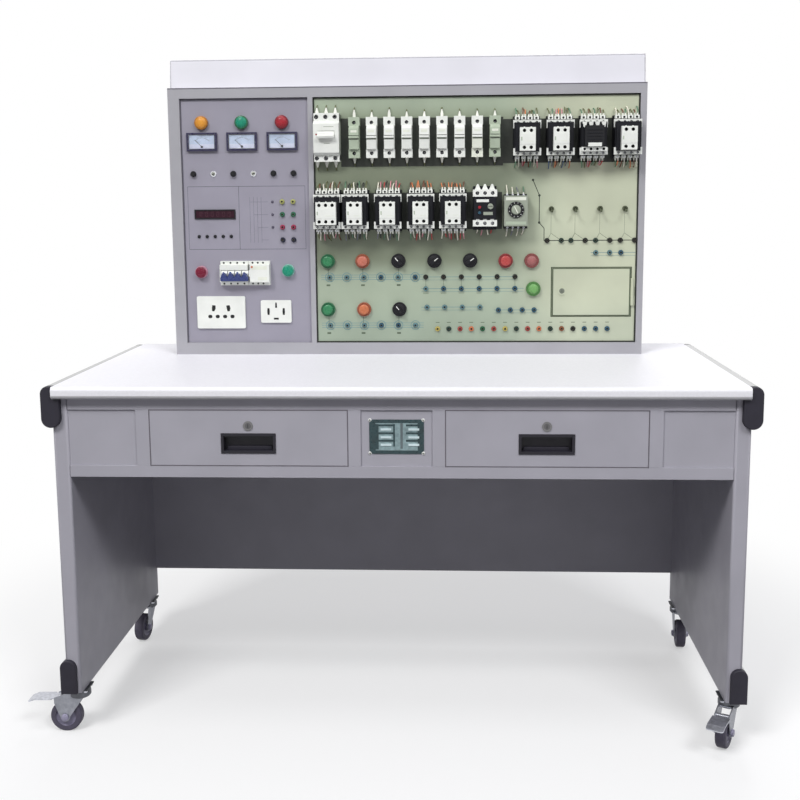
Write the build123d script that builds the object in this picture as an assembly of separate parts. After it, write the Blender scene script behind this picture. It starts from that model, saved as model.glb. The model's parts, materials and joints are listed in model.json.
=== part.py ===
from build123d import *
import math
import os

# Electrical skills training bench, millimetres. X to the right, Y to the rear, Z up.
# The origin is on the floor, under the middle of the worktop.

# Running and seating clearances
touch_gap = 0.3
running_gap = 0.06
saddle_gap = 0.2

# Worktop
worktop_width = 1542.0
worktop_depth = 750.0
worktop_thickness = 28.0
worktop_height = 840.0
worktop_nose_radius = 9.0

# Side rails at the worktop, with black end caps
rail_width = 43.0
rail_height = 95.0
rail_overlap = 14.0
rail_wall = 3.0
rail_top_radius = 18.0
rail_bottom_radius = 21.0
rail_setback = 12.0
cap_length = 15.0
cap_nose_radius = 3.0

# Legs: folded steel boxes
leg_inner_x = 743.0
leg_thickness = 36.0
leg_front_y = -350.0
leg_depth = 670.0
leg_wall = 1.5
leg_corner_radius = 6.0
leg_bottom_z = 110.0

# Foot rails along the bottom of each leg
foot_rail_inner_x = 752.0
foot_rail_width = 38.0
foot_rail_height = 82.0
foot_rail_wall = 3.0
foot_cap_overhang = 10.0

# Modesty panel at the rear
modesty_inset = 17.0
modesty_bottom_z = 190.0
modesty_flange = 14.0
sheet = 1.5

# Apron with its openings
apron_height = 182.0
apron_rail_height = 27.0
apron_depth = 25.0
apron_panel_recess = 4.0
drawer_opening_inner_x = 109.0
drawer_opening_outer_x = 557.0
centre_opening_half = 80.0
blank_opening_inner_x = 588.0

# Drawers
drawer_gap = 1.5
drawer_front_thickness = 16.0
drawer_box_height = 100.0
drawer_box_depth = 400.0
drawer_side_gap = 9.0
drawer_floor_lift = 5.0
drawer_travel_stop = 12.0
pull_width = 124.0
pull_height = 46.0
pull_offset_z = -12.0
pull_depth = 22.0
pull_wall = 2.0
pull_flange = 4.0
runner_lip = 14.0
runner_flange = 12.0

# Cam locks
lock_offset_z = 28.0
lock_ring_radius = 11.0
lock_plug_radius = 7.0
lock_ring_proud = 2.0
key_slot_width = 1.6
key_slot_length = 9.0
key_slot_depth = 3.0
cam_width = 12.0
cam_length = 40.0
cam_thickness = 2.5
cam_clearance = 2.0

# Casters
caster_x = 761.0
caster_front_y = -310.0
caster_rear_y = 270.0
caster_plate = 50.0
caster_plate_thickness = 3.0
raceway_radius = 20.0
raceway_height = 11.0
king_pin_radius = 5.0
king_head_radius = 8.0
king_head_height = 2.0
wheel_radius = 37.5
wheel_width = 25.0
wheel_tread_radius = 5.0
wheel_hub_radius = 22.0
wheel_hub_recess = 4.0
axle_radius = 4.0
axle_nut_radius = 7.0
axle_nut_height = 4.0
caster_trail = 34.0
fork_sheet = 2.5
fork_crown = 4.0
fork_side_gap = 2.5
fork_front = 17.0
fork_axle_boss = 11.0
fork_crown_lap = 4.0
fork_pin_boss = 7.0
fork_foot_inset = 2.0
fork_foot_drop = 3.0
wheel_hub_boss = 6.0
wheel_hub_slope = 3.0
pedal_pin_back = 52.0
pedal_pin_z = 79.0
pedal_pin_radius = 2.5
pedal_cam_radius = 7.0
pedal_sheet = 2.5
pedal_width = 40.0
pedal_reach = 122.0
pedal_rise = 5.0
pedal_neck_start = 4.0
pedal_neck_lap = 2.0
pedal_wide_start = 12.0
pedal_bend = 16.0
pedal_bend_drop = 1.0
pedal_tip_drop = 7.0
pedal_corner_radius = 6.0
front_left_turn = 0.0
front_right_turn = 62.0
rear_left_turn = 80.0
rear_right_turn = 86.0

# Cabinet standing on the worktop
cabinet_width = 1240.0
cabinet_front_y = 157.0
cabinet_depth = 218.0
cabinet_height = 700.0
frame_left = 30.0
frame_right = 16.0
frame_top = 27.0
frame_bottom = 31.0
divider_left_x = -253.0
divider_width = 13.0
panel_recess = 8.0
panel_thickness = 3.0
panel_rebate = 5.0
header_height = 75.0
header_setback = 32.0
header_lean = 10.0

# Round fittings in the panels
sleeve_radius = 14.0
sleeve_bore = 12.1
sleeve_back = 11.0
bezel_proud = 8.0
bezel_radius_panel = 16.0
bezel_radius_board = 18.5
cap_radius = 11.8
button_proud = 5.0
button_travel = 4.0
button_edge_radius = 3.0
lens_rim = 0.5
knob_rim = 2.0
knob_corner_radius = 3.0
contact_block = 28.0
contact_depth = 32.0
lens_proud = 6.0
knob_bar_length = 24.0
knob_bar_width = 7.0
knob_bar_height = 15.0
hole_gap = 0.2

# Places worked out from the sizes above
worktop_under_z = worktop_height - worktop_thickness
rail_inner_x = worktop_width / 2 - rail_overlap
rail_outer_x = rail_inner_x + rail_width
rail_bottom_z = worktop_height - rail_height
rail_front_y = -worktop_depth / 2 + rail_setback
rail_rear_y = worktop_depth / 2 - rail_setback
leg_rear_y = leg_front_y + leg_depth
modesty_y = leg_rear_y - modesty_inset
foot_rail_outer_x = foot_rail_inner_x + foot_rail_width
foot_front_y = leg_front_y - foot_cap_overhang
foot_rear_y = leg_rear_y + foot_cap_overhang
apron_bottom_z = worktop_under_z - apron_height
apron_front_y = leg_front_y
apron_back_y = apron_front_y + apron_depth
opening_bottom_z = apron_bottom_z + apron_rail_height
opening_top_z = worktop_under_z - apron_rail_height
drawer_centre_x = (drawer_opening_inner_x + drawer_opening_outer_x) / 2
drawer_front_back_y = apron_front_y + drawer_front_thickness
drawer_floor_z = opening_bottom_z + drawer_floor_lift
drawer_half = (drawer_opening_outer_x - drawer_opening_inner_x) / 2
drawer_box_half = drawer_half - drawer_side_gap
drawer_middle_z = (opening_bottom_z + opening_top_z) / 2
cam_y = apron_back_y + cam_clearance
cabinet_left_x = -cabinet_width / 2
cabinet_right_x = cabinet_width / 2
cabinet_back_y = cabinet_front_y + cabinet_depth
cabinet_top_z = worktop_height + cabinet_height
panel_y = cabinet_front_y + panel_recess
panel_back_y = panel_y + panel_thickness
frame_inner_left_x = cabinet_left_x + frame_left
frame_inner_right_x = cabinet_right_x - frame_right
frame_inner_bottom_z = worktop_height + frame_bottom
frame_inner_top_z = cabinet_top_z - frame_top
divider_right_x = divider_left_x + divider_width
contact_front_y = panel_y + sleeve_back

# The devices are set out on a fine grid that fills the two panels
control_grid_columns = 67.4
board_grid_columns = 168.8
grid_rows = 128.4
grid_x = (divider_left_x - frame_inner_left_x) / control_grid_columns
grid_x_board = (frame_inner_right_x - divider_right_x) / board_grid_columns
grid_z = (frame_inner_top_z - frame_inner_bottom_z) / grid_rows


def control_x(column):
    """The x of a column of the grid on the control panel."""
    return frame_inner_left_x + column * grid_x


def board_x(column):
    """The x of a column of the grid on the mounting board."""
    return divider_right_x + column * grid_x_board


def row_z(row):
    """The z of a row of the grid, which both panels share."""
    return frame_inner_bottom_z + row * grid_z


# Devices on the control panel
lamp_pitch = 21.2 * grid_x
lamp_centre_x = control_x(32.4)
lamp_z = row_z(116)
meter_width = 80.0
meter_height = 47.0
meter_proud = 8.0
meter_frame = 4.0
meter_window_depth = 5.0
meter_z = row_z(106.2)
needle_length = 25.0
needle_width = 1.0
needle_drop = 13.0
needle_rest_angle = 45.0
needle_thickness = 0.8
needle_lift = 1.6
needle_hub_radius = 3.0
needle_pin_radius = 1.5
needle_pin_height = 3.5
screw_fuse_count = 6
screw_fuse_radius = 7.0
screw_fuse_proud = 9.0
fuse_row_z = row_z(89.6)
fuse_row_pitch = 10.64 * grid_x
fuse_row_left_x = control_x(6)
display_width = 109.0
display_height = 25.0
display_x = control_x(16.9)
display_proud = 3.0
display_rim = 3.0
display_well = 1.5
display_z = row_z(68.5)
key_count = 5
key_radius = 3.5
key_proud = 4.0
key_row_z = row_z(56.8)
key_pitch = 4.3 * grid_x
key_left_x = control_x(8)
control_socket_columns = (control_x(52.8), control_x(58.6))
control_socket_top_z = row_z(74.8)
control_socket_pitch = 6.66 * grid_z
control_socket_count = 4
status_lamp_count = 3
status_lamp_radius = 3.0
status_lamp_proud = 3.0
status_lamp_x = control_x(47.6)
stop_button_at = (control_x(8.8), row_z(38))
start_button_at = (control_x(55.4), row_z(38.6))
residual_breaker_x = (control_x(19.4), control_x(45.8))
residual_breaker_z = (row_z(31), row_z(43.8))
residual_base_depth = 12.0
residual_nose_depth = 24.0
residual_nose_height = 46.0
residual_lever_x = (control_x(20), control_x(34.8))
wide_outlet_at = (control_x(18.8), row_z(16.4))
wide_outlet_size = (130.0, 86.0)
small_outlet_at = (control_x(48.4), row_z(16.8))
small_outlet_size = (82.0, 60.0)
outlet_proud = 6.0
outlet_corner_radius = 4.0
blade_slot_width = 3.0
pole_spacing = 40.0
two_pin_lift = 10.0
two_pin_length = 11.0
three_pin_drop = 11.0
three_pin_half = 10.0
three_pin_length = 9.0
small_pole_spacing = 41.0
small_slot_length = 12.0
small_slot_drop = 1.0
small_slot_rise = 17.0
small_slot_low = 19.0

# Devices on the mounting board
board_breaker_x = (board_x(1), board_x(14.2))
board_breaker_z = (row_z(95.2), row_z(123))
board_lever_width = 44.0
breaker_nose_depth = 44.0
breaker_nose_height = 74.0
breaker_base_depth = 26.0
lever_drum_radius = 8.0
lever_drum_sink = 5.0
lever_handle_reach = 20.0
lever_handle_thickness = 6.0
lever_rest_angle = 25.0
fuse_holder_left_x = board_x(21.8)
fuse_holder_pitch = 9.08 * grid_x_board
fuse_holder_count = 9
fuse_holder_width = 29.0
fuse_holder_z = row_z(107.3)
fuse_holder_height = 104.0
fuse_holder_depth = 42.0
fuse_base_depth = 24.0
fuse_nose_half = 20.0
fuse_nose_slope = 6.0
contactor_height = 112.0
contactor_base_depth = 42.0
contactor_nose_depth = 62.0
contactor_block_depth = 82.0
contactor_block_width = 42.0
contactor_block_height = 62.0
contactor_nose_inset = 22.0
terminal_step_depth = 14.0
terminal_step_height = 9.0
upper_contactor_left_x = board_x(110.2)
upper_contactor_pitch = 17.06 * grid_x_board
upper_contactor_z = row_z(108)
lower_contactor_places = (board_x(7), board_x(21), board_x(38.4), board_x(55.6), board_x(72.8))
contactor_gap = 2.0
contactor_width = lower_contactor_places[1] - lower_contactor_places[0] - contactor_gap
lower_contactor_z = row_z(70.8)
thermal_relay_at = (board_x(89.3), row_z(70.8))
thermal_relay_size = (62.0, 114.0, 58.0)
thermal_step_height = 26.0
time_relay_at = (board_x(105.2), row_z(69))
time_relay_size = (64.0, 88.0, 52.0)
time_dial_radius = 21.0
time_dial_lift = 4.0
time_dial_proud = 5.0
toggle_places = (board_x(124), board_x(136.4), board_x(149.2), board_x(162))
toggle_z = row_z(70)
toggle_bush_radius = 7.0
toggle_bush_bore = 4.2
toggle_bush_proud = 9.0
toggle_pivot_depth = 4.0
toggle_ball_radius = 3.6
toggle_trunnion_radius = 1.2
toggle_trunnion_reach = 3.95
toggle_lever_length = 26.0
toggle_lever_radius = 1.6
toggle_tip_radius = 2.9
toggle_tip_length = 10.0
toggle_tip_proud = 2.0
toggle_tilt = 13.0
green_button_upper_at = (board_x(6.6), row_z(43.4))
green_button_lower_at = (board_x(6.4), row_z(17.8))
orange_button_upper_at = (board_x(25), row_z(43.4))
orange_button_lower_at = (board_x(25.6), row_z(17.8))
red_button_at = (board_x(100.4), row_z(43.2))
selector_places = (
    (board_x(44), row_z(43.4)),
    (board_x(63), row_z(43.4)),
    (board_x(81.8), row_z(43.4)),
    (board_x(44.4), row_z(17.8)),
)
board_lamp_places = ((board_x(114), row_z(43.2)), (board_x(115), row_z(28.4)))
socket_radius = 6.0
socket_bore_radius = 2.2
socket_proud = 7.0
socket_bore_depth = 5.0
fault_door_x = (board_x(124.8), board_x(165.8))
fault_door_z = (row_z(14), row_z(39.2))
fault_door_thickness = 2.0
fault_window_margin = 5.0
fault_box_margin = 12.0
fault_box_depth = 60.0
hinge_pin_radius = 2.0
hinge_knuckle_radius = 4.0
hinge_knuckle_length = 24.0
door_lock_inset = 26.0
door_lock_lift = 3.0
door_cam_length = 32.0
hinge_leaf_reach = 9.0
hinge_arm_reach = 3.0

# Rows of sockets: (first x, pitch, how many, z)
socket_rows = (
    (board_x(58.4), 9.4 * grid_x_board, 6, row_z(34.8)),
    (board_x(58.4), 9.4 * grid_x_board, 6, row_z(28.6)),
    (board_x(59), 9.34 * grid_x_board, 4, row_z(18.8)),
    (board_x(96.8), 6.26 * grid_x_board, 4, row_z(17.2)),
    (board_x(64.6), 5.96 * grid_x_board, 16, row_z(7.2)),
)
toggle_socket_z = row_z(53.6)
toggle_socket_left = 10.0
toggle_socket_right = 27.0
blue_socket_places = (board_x(147.4), board_x(154.6), board_x(160.4))
blue_socket_z = row_z(47.2)
left_socket_rows = (row_z(34.8), row_z(9.2))
left_socket_x = board_x(7.4)
left_socket_pitch = 9.08 * grid_x_board
left_socket_count = 6


def block(x_span, y_span, z_span):
    """A box between two opposite corners."""
    size_x = x_span[1] - x_span[0]
    size_y = y_span[1] - y_span[0]
    size_z = z_span[1] - z_span[0]
    centre = Pos(sum(x_span) / 2, sum(y_span) / 2, sum(z_span) / 2)
    return centre * Box(size_x, size_y, size_z)


def bar_y(at, radius, front_y, back_y):
    """A round bar along Y, at an (x, z) place on a panel."""
    middle = Pos(at[0], (front_y + back_y) / 2, at[1])
    return middle * Rot(90, 0, 0) * Cylinder(radius, back_y - front_y)


def bar_x(y, z, radius, x_span):
    """A round bar along X."""
    middle = Pos(sum(x_span) / 2, y, z)
    return middle * Rot(0, 90, 0) * Cylinder(radius, x_span[1] - x_span[0])


def along_x(outline, x_span):
    """Extrude a (y, z) outline along X."""
    return extrude(Plane.YZ.offset(x_span[0]) * outline, amount=x_span[1] - x_span[0])


def along_y(outline, y_span):
    """Extrude an (x, z) outline along Y."""
    return extrude(Plane.XZ.offset(-y_span[1]) * outline, amount=y_span[1] - y_span[0])


def outline_of(*points):
    """A flat face inside a closed run of straight lines."""
    return make_face(Polyline(*points, close=True))


def mirrored(shape):
    """The same piece on the other side of the bench."""
    return mirror(shape, about=Plane.YZ)


def save(node, *solids):
    """Write one node with all its solids."""
    shapes = []
    for piece in solids:
        shapes.extend(piece.solids())
    export_step(Compound(children=shapes), f"parts/{node}.step")


def corner(shape, x, z, radius):
    """Round the corner of a flat outline that lies at (x, z)."""
    near = sorted(shape.vertices(), key=lambda v: abs(v.X - x) + abs(v.Y - z))[0]
    return fillet([near], radius)


def side_rail_outline(grow=0.0):
    """The section of a side rail, with a rebate that takes the worktop's edge."""
    edge_x = worktop_width / 2
    shape = outline_of(
        (rail_inner_x, rail_bottom_z),
        (rail_outer_x, rail_bottom_z),
        (rail_outer_x, worktop_height),
        (edge_x, worktop_height),
        (edge_x, worktop_under_z),
        (rail_inner_x, worktop_under_z),
    )
    shape = corner(shape, rail_outer_x, worktop_height, rail_top_radius)
    shape = corner(shape, rail_inner_x, rail_bottom_z, rail_bottom_radius)
    shape = corner(shape, rail_outer_x, rail_bottom_z, rail_bottom_radius)
    if grow:
        shape = offset(shape, amount=grow)
    return shape


def foot_rail_outline(grow=0.0):
    """The section of a foot rail, with its full round top."""
    straight = foot_rail_height - foot_rail_width / 2
    middle_x = foot_rail_inner_x + foot_rail_width / 2
    lower = Pos(middle_x, leg_bottom_z + straight / 2) * Rectangle(foot_rail_width, straight)
    crown = Pos(middle_x, leg_bottom_z + straight) * Circle(foot_rail_width / 2)
    shape = lower + crown
    if grow:
        shape = offset(shape, amount=grow)
    return shape


def worktop():
    """The board, with both long edges rounded."""
    half = worktop_depth / 2
    shape = block((-worktop_width / 2, worktop_width / 2), (-half, half), (worktop_under_z, worktop_height))
    noses = [e for e in shape.edges().filter_by(Axis.X) if e.center().Y < 0]
    return fillet(noses, worktop_nose_radius)


def rail(outline, wall, y_span):
    """A hollow extrusion along Y."""
    hollow = outline - offset(outline, amount=-wall)
    return along_y(hollow, y_span)


def end_cap(outline, y_span, nose_y):
    """A moulded cap that closes a rail, rounded at its outer face."""
    cap = along_y(outline, y_span)
    rim = [e for e in cap.edges() if abs(e.center().Y - nose_y) < 0.01]
    return fillet(rim, cap_nose_radius)


def side_rails():
    upper = rail(side_rail_outline(), rail_wall, (rail_front_y + cap_length, rail_rear_y - cap_length))
    lower = rail(foot_rail_outline(), foot_rail_wall, (foot_front_y + cap_length, foot_rear_y - cap_length))
    return [upper, lower, mirrored(upper), mirrored(lower)]


def rail_end_caps():
    caps = []
    for outline, front, rear in (
        (side_rail_outline(), rail_front_y, rail_rear_y),
        (foot_rail_outline(), foot_front_y, foot_rear_y),
    ):
        caps.append(end_cap(outline, (front, front + cap_length), front))
        caps.append(end_cap(outline, (rear - cap_length, rear), rear))
    return caps + [mirrored(cap) for cap in caps]


def leg():
    """The right leg, cut to sit against both rails."""
    middle = Pos(leg_inner_x + leg_thickness / 2, leg_front_y + leg_depth / 2)
    outer = RectangleRounded(leg_thickness, leg_depth, leg_corner_radius)
    inner_radius = leg_corner_radius - leg_wall
    inner = RectangleRounded(leg_thickness - 2 * leg_wall, leg_depth - 2 * leg_wall, inner_radius)
    ring = middle * (outer - inner)
    height = worktop_under_z - leg_bottom_z
    tube = extrude(Plane.XY.offset(leg_bottom_z) * ring, amount=height)
    span = (foot_front_y, worktop_depth / 2)
    tube -= along_y(side_rail_outline(saddle_gap), span)
    tube -= along_y(foot_rail_outline(saddle_gap), span)
    above_z = (rail_bottom_z + rail_bottom_radius, worktop_height)
    above = block((rail_inner_x - saddle_gap, rail_outer_x), span, above_z)
    below_top = leg_bottom_z + foot_rail_height - foot_rail_width / 2
    below = block((foot_rail_inner_x - saddle_gap, foot_rail_outer_x), span, (leg_bottom_z, below_top))
    return tube - above - below


def modesty_panel():
    """One folded sheet between the legs."""
    y0, y1, y2 = modesty_y, modesty_y + sheet, modesty_y + modesty_flange
    z0, z1 = modesty_bottom_z, worktop_under_z
    section = outline_of(
        (y0, z0), (y2, z0), (y2, z0 + sheet), (y1, z0 + sheet),
        (y1, z1 - sheet), (y2, z1 - sheet), (y2, z1), (y0, z1),
    )
    return along_x(section, (-leg_inner_x, leg_inner_x))


def apron_rail(z_span):
    """A folded channel across the whole apron."""
    y0, y1, y2 = apron_front_y, apron_front_y + sheet, apron_back_y
    z0, z1 = z_span
    section = outline_of(
        (y0, z0), (y2, z0), (y2, z0 + sheet), (y1, z0 + sheet),
        (y1, z1 - sheet), (y2, z1 - sheet), (y2, z1), (y0, z1),
    )
    return along_x(section, (-leg_inner_x, leg_inner_x))


def apron_stile(x_span):
    """A folded upright between two openings."""
    x0, x1 = x_span
    y0, y2 = apron_front_y, apron_back_y
    tube = block(x_span, (y0, y2), (opening_bottom_z, opening_top_z))
    inside = block((x0 + sheet, x1 - sheet), (y0 + sheet, y2), (opening_bottom_z, opening_top_z))
    return tube - inside


def apron():
    """The welded frame with its two blank panels and the middle panel."""
    pieces = [
        apron_rail((apron_bottom_z, opening_bottom_z)),
        apron_rail((opening_top_z, worktop_under_z)),
    ]
    stiles = (
        (centre_opening_half, drawer_opening_inner_x),
        (drawer_opening_outer_x, blank_opening_inner_x),
    )
    for inner, outer in stiles:
        pieces.append(apron_stile((inner, outer)))
        pieces.append(apron_stile((-outer, -inner)))
    z_span = (opening_bottom_z, opening_top_z)
    y_span = (apron_front_y + apron_panel_recess, apron_front_y + apron_panel_recess + sheet)
    pieces.append(block((-centre_opening_half, centre_opening_half), y_span, z_span))
    blank = block((blank_opening_inner_x, leg_inner_x), y_span, z_span)
    return pieces + [blank, mirrored(blank)]


def drawer_runners():
    """Four folded brackets under the worktop. Each carries one side of a drawer on its lip."""
    shelf_z = drawer_floor_z - touch_gap
    gap_x = drawer_box_half + touch_gap
    section = outline_of(
        (gap_x, shelf_z),
        (gap_x - runner_lip, shelf_z),
        (gap_x - runner_lip, shelf_z - sheet),
        (gap_x + sheet, shelf_z - sheet),
        (gap_x + sheet, worktop_under_z - sheet),
        (gap_x + runner_flange, worktop_under_z - sheet),
        (gap_x + runner_flange, worktop_under_z),
        (gap_x, worktop_under_z),
    )
    runner_back_y = drawer_front_back_y + drawer_box_depth + drawer_travel_stop
    outer = along_y(section, (apron_back_y, runner_back_y))
    inner = mirrored(outer)
    right = [Pos(drawer_centre_x, 0, 0) * outer, Pos(drawer_centre_x, 0, 0) * inner]
    return right + [mirrored(piece) for piece in right]


def drawer(centre_x):
    """A drawer: its front, a folded box of five sheets, its pull and the lock's ring."""
    half = drawer_half - drawer_gap
    z_span = (opening_bottom_z + drawer_gap, opening_top_z - drawer_gap)
    y_front = apron_front_y
    y_back = drawer_front_back_y
    front = block((centre_x - half, centre_x + half), (y_front, y_back), z_span)
    pull_z = drawer_middle_z + pull_offset_z
    cup_half_x = pull_width / 2 - pull_flange
    cup_half_z = pull_height / 2 - pull_flange
    cup_back_y = y_front + pull_depth
    opening = block(
        (centre_x - cup_half_x, centre_x + cup_half_x),
        (y_front, y_back),
        (pull_z - cup_half_z, pull_z + cup_half_z),
    )
    lock_at = (centre_x, drawer_middle_z + lock_offset_z)
    front = front - opening - bar_y(lock_at, lock_plug_radius + pull_wall, y_front, y_back)
    floor = (drawer_floor_z, drawer_floor_z + sheet)
    wall_z = (drawer_floor_z + sheet, drawer_floor_z + drawer_box_height)
    box_back = y_back + drawer_box_depth
    x0, x1 = centre_x - drawer_box_half, centre_x + drawer_box_half
    pieces = [
        front,
        block((x0, x1), (y_back, box_back), floor),
        block((x0, x0 + sheet), (y_back, box_back), wall_z),
        block((x1 - sheet, x1), (y_back, box_back), wall_z),
        block((x0 + sheet, x1 - sheet), (box_back - sheet, box_back), wall_z),
        drawer_pull(centre_x, pull_z, cup_half_x, cup_half_z, cup_back_y),
        lock_ring(lock_at, y_front, cam_y - touch_gap, pull_wall),
    ]
    return pieces


def drawer_pull(centre_x, pull_z, half_x, half_z, back_y):
    """A moulded finger cup with a rim over the drawer's front."""
    y_front = apron_front_y
    rim_y = (y_front - pull_wall, y_front)
    rim = block(
        (centre_x - pull_width / 2, centre_x + pull_width / 2),
        rim_y,
        (pull_z - pull_height / 2, pull_z + pull_height / 2),
    )
    cup = block(
        (centre_x - half_x, centre_x + half_x), (y_front, back_y), (pull_z - half_z, pull_z + half_z)
    )
    hollow = block(
        (centre_x - half_x + pull_wall, centre_x + half_x - pull_wall),
        (rim_y[0], back_y - pull_wall),
        (pull_z - half_z + pull_wall, pull_z + half_z - pull_wall),
    )
    return rim + cup - hollow


def lock_ring(at, face_y, back_y, wall):
    """The fixed barrel of a cam lock, with its collar on the face."""
    barrel = bar_y(at, lock_plug_radius + wall, face_y, back_y)
    collar = bar_y(at, lock_ring_radius, face_y - lock_ring_proud, face_y)
    bore = bar_y(at, lock_plug_radius + running_gap, face_y - lock_ring_proud, back_y)
    return barrel + collar - bore


def lock_plug(at, face_y, cam_front_y, reach, toward):
    """The turning plug of a cam lock, with its key slot and its cam."""
    plug = bar_y(at, lock_plug_radius, face_y - lock_ring_proud, cam_front_y)
    slot_front_y = face_y - lock_ring_proud
    slot = block(
        (at[0] - key_slot_width / 2, at[0] + key_slot_width / 2),
        (slot_front_y, slot_front_y + key_slot_depth),
        (at[1] - key_slot_length / 2, at[1] + key_slot_length / 2),
    )
    long = (reach - cam_width / 2) / 2
    arm = Pos(at[0] + toward[0] * long, cam_front_y + cam_thickness / 2, at[1] + toward[1] * long)
    size_x = cam_width + abs(toward[0]) * (reach - cam_width / 2 - cam_width / 2)
    size_z = cam_width + abs(toward[1]) * (reach - cam_width / 2 - cam_width / 2)
    cam = arm * Box(size_x, cam_thickness, size_z)
    return plug - slot + cam


# Casters: each is made at the origin, trailing towards -X, then turned and placed

def caster_mount():
    """The plate, the raceway and the king pin, which stay with the leg."""
    top = leg_bottom_z
    plate_z = top - caster_plate_thickness
    race_z = plate_z - raceway_height
    half = caster_plate / 2
    plate = block((-half, half), (-half, half), (plate_z, top))
    race = Pos(0, 0, (plate_z + race_z) / 2) * Cylinder(raceway_radius, raceway_height)
    crown_under = race_z - touch_gap - fork_crown
    pin_bottom = crown_under - touch_gap
    pin = Pos(0, 0, (race_z + pin_bottom) / 2) * Cylinder(king_pin_radius, race_z - pin_bottom)
    head = Pos(0, 0, pin_bottom - king_head_height / 2) * Cylinder(king_head_radius, king_head_height)
    return plate + race + pin + head


def caster_fork(with_brake):
    """The swivelling fork with its axle."""
    crown_top = leg_bottom_z - caster_plate_thickness - raceway_height - touch_gap
    inner_y = wheel_width / 2 + fork_side_gap
    outer_y = inner_y + fork_sheet
    back = -caster_trail + fork_crown_lap
    points = [(fork_front, crown_top), (back, crown_top)]
    if with_brake:
        pin_edge = -pedal_pin_back - fork_pin_boss
        points += [(pin_edge, pedal_pin_z + fork_pin_boss), (pin_edge, pedal_pin_z - fork_pin_boss)]
    points += [
        (-caster_trail - fork_axle_boss, wheel_radius),
        (-caster_trail + fork_axle_boss - fork_foot_inset, wheel_radius - fork_foot_drop),
    ]
    cheek = outline_of(*points) + Pos(-caster_trail, wheel_radius) * Circle(fork_axle_boss)
    cheeks = along_y(cheek, (inner_y, outer_y)) + along_y(cheek, (-outer_y, -inner_y))
    crown = block((back, fork_front), (-outer_y, outer_y), (crown_top - fork_crown, crown_top))
    king_hole = Pos(0, 0, crown_top) * Cylinder(king_pin_radius + running_gap, 4 * fork_crown)
    axle_end = outer_y + axle_nut_height
    axle_at = (-caster_trail, wheel_radius)
    axle = bar_y(axle_at, axle_radius, -axle_end, axle_end)
    nuts = bar_y(axle_at, axle_nut_radius, outer_y, axle_end)
    nuts += bar_y(axle_at, axle_nut_radius, -axle_end, -outer_y)
    fork = cheeks + crown + axle + nuts - king_hole
    if with_brake:
        fork += bar_y((-pedal_pin_back, pedal_pin_z), pedal_pin_radius, -inner_y, inner_y)
    return fork


def caster_wheel():
    """A wheel with a rounded tread and dished sides."""
    half = wheel_width / 2
    dish = half - wheel_hub_recess
    bore = axle_radius + running_gap
    boss = bore + wheel_hub_boss
    rim = wheel_hub_radius + wheel_hub_slope
    section = outline_of(
        (bore, -half), (boss, -half), (boss, -dish), (wheel_hub_radius, -dish), (rim, -half),
        (wheel_radius, -half), (wheel_radius, half),
        (rim, half), (wheel_hub_radius, dish), (boss, dish), (boss, half), (bore, half),
    )
    tread = [v for v in section.vertices() if v.X > wheel_radius - 0.01]
    section = fillet(tread, wheel_tread_radius)
    wheel = revolve(section, axis=Axis.Y)
    return Pos(-caster_trail, 0, wheel_radius) * wheel


def brake_pedal():
    """The brake lever: a cam round its pin and a wide pressed pedal."""
    inner_y = wheel_width / 2 + fork_side_gap - touch_gap
    pin = (-pedal_pin_back, pedal_pin_z)
    hub = bar_y(pin, pedal_cam_radius, -inner_y, inner_y)
    start_x = -pedal_pin_back - pedal_neck_start
    wide_x = -pedal_pin_back - pedal_wide_start
    bend_x = -pedal_reach + pedal_bend
    top_z = pedal_pin_z + pedal_rise
    neck = block((wide_x - pedal_neck_lap, start_x), (-inner_y, inner_y), (top_z - pedal_sheet, top_z))
    bend_z = top_z - pedal_bend_drop
    tip_z = top_z - pedal_tip_drop
    section = outline_of(
        (wide_x, top_z), (wide_x, top_z - pedal_sheet),
        (bend_x, bend_z - pedal_sheet), (-pedal_reach, top_z - pedal_sheet - pedal_tip_drop),
        (-pedal_reach, tip_z), (bend_x, bend_z),
    )
    half = pedal_width / 2
    tread = along_y(section, (-half, half))
    corners = [e for e in tread.edges() if e.center().X < -pedal_reach + 1 and abs(e.center().Y) > half - 1]
    tread = fillet(corners, pedal_corner_radius)
    bore = bar_y(pin, pedal_pin_radius + running_gap, -pedal_width, pedal_width)
    return hub + neck + tread - bore


def caster_places():
    """Each caster's name, place, turn and whether it has a brake."""
    return (
        ("front_left", -caster_x, caster_front_y, front_left_turn, True),
        ("front_right", caster_x, caster_front_y, front_right_turn, True),
        ("rear_left", -caster_x, caster_rear_y, rear_left_turn, False),
        ("rear_right", caster_x, caster_rear_y, rear_right_turn, False),
    )


def casters():
    mounts = []
    for name, x, y, turn, with_brake in caster_places():
        place = Pos(x, y, 0) * Rot(0, 0, turn)
        mounts.append(Pos(x, y, 0) * caster_mount())
        save(f"caster_fork_{name}", place * caster_fork(with_brake))
        save(f"caster_wheel_{name}", place * caster_wheel())
        if with_brake:
            save(f"brake_pedal_{name}", place * brake_pedal())
    save("caster_mounts", *mounts)


# Cabinet

def cabinet_shell():
    """Roof, floor, sides and back of folded sheet."""
    x0, x1 = cabinet_left_x, cabinet_right_x
    y0, y1 = cabinet_front_y + sheet, cabinet_back_y
    z0, z1 = worktop_height, cabinet_top_z
    back_y = cabinet_back_y - sheet
    return [
        block((x0, x1), (y0, y1), (z0, z0 + sheet)),
        block((x0, x1), (y0, y1), (z1 - sheet, z1)),
        block((x0, x0 + sheet), (y0, y1), (z0 + sheet, z1 - sheet)),
        block((x1 - sheet, x1), (y0, y1), (z0 + sheet, z1 - sheet)),
        block((x0 + sheet, x1 - sheet), (back_y, y1), (z0 + sheet, z1 - sheet)),
    ]


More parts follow.
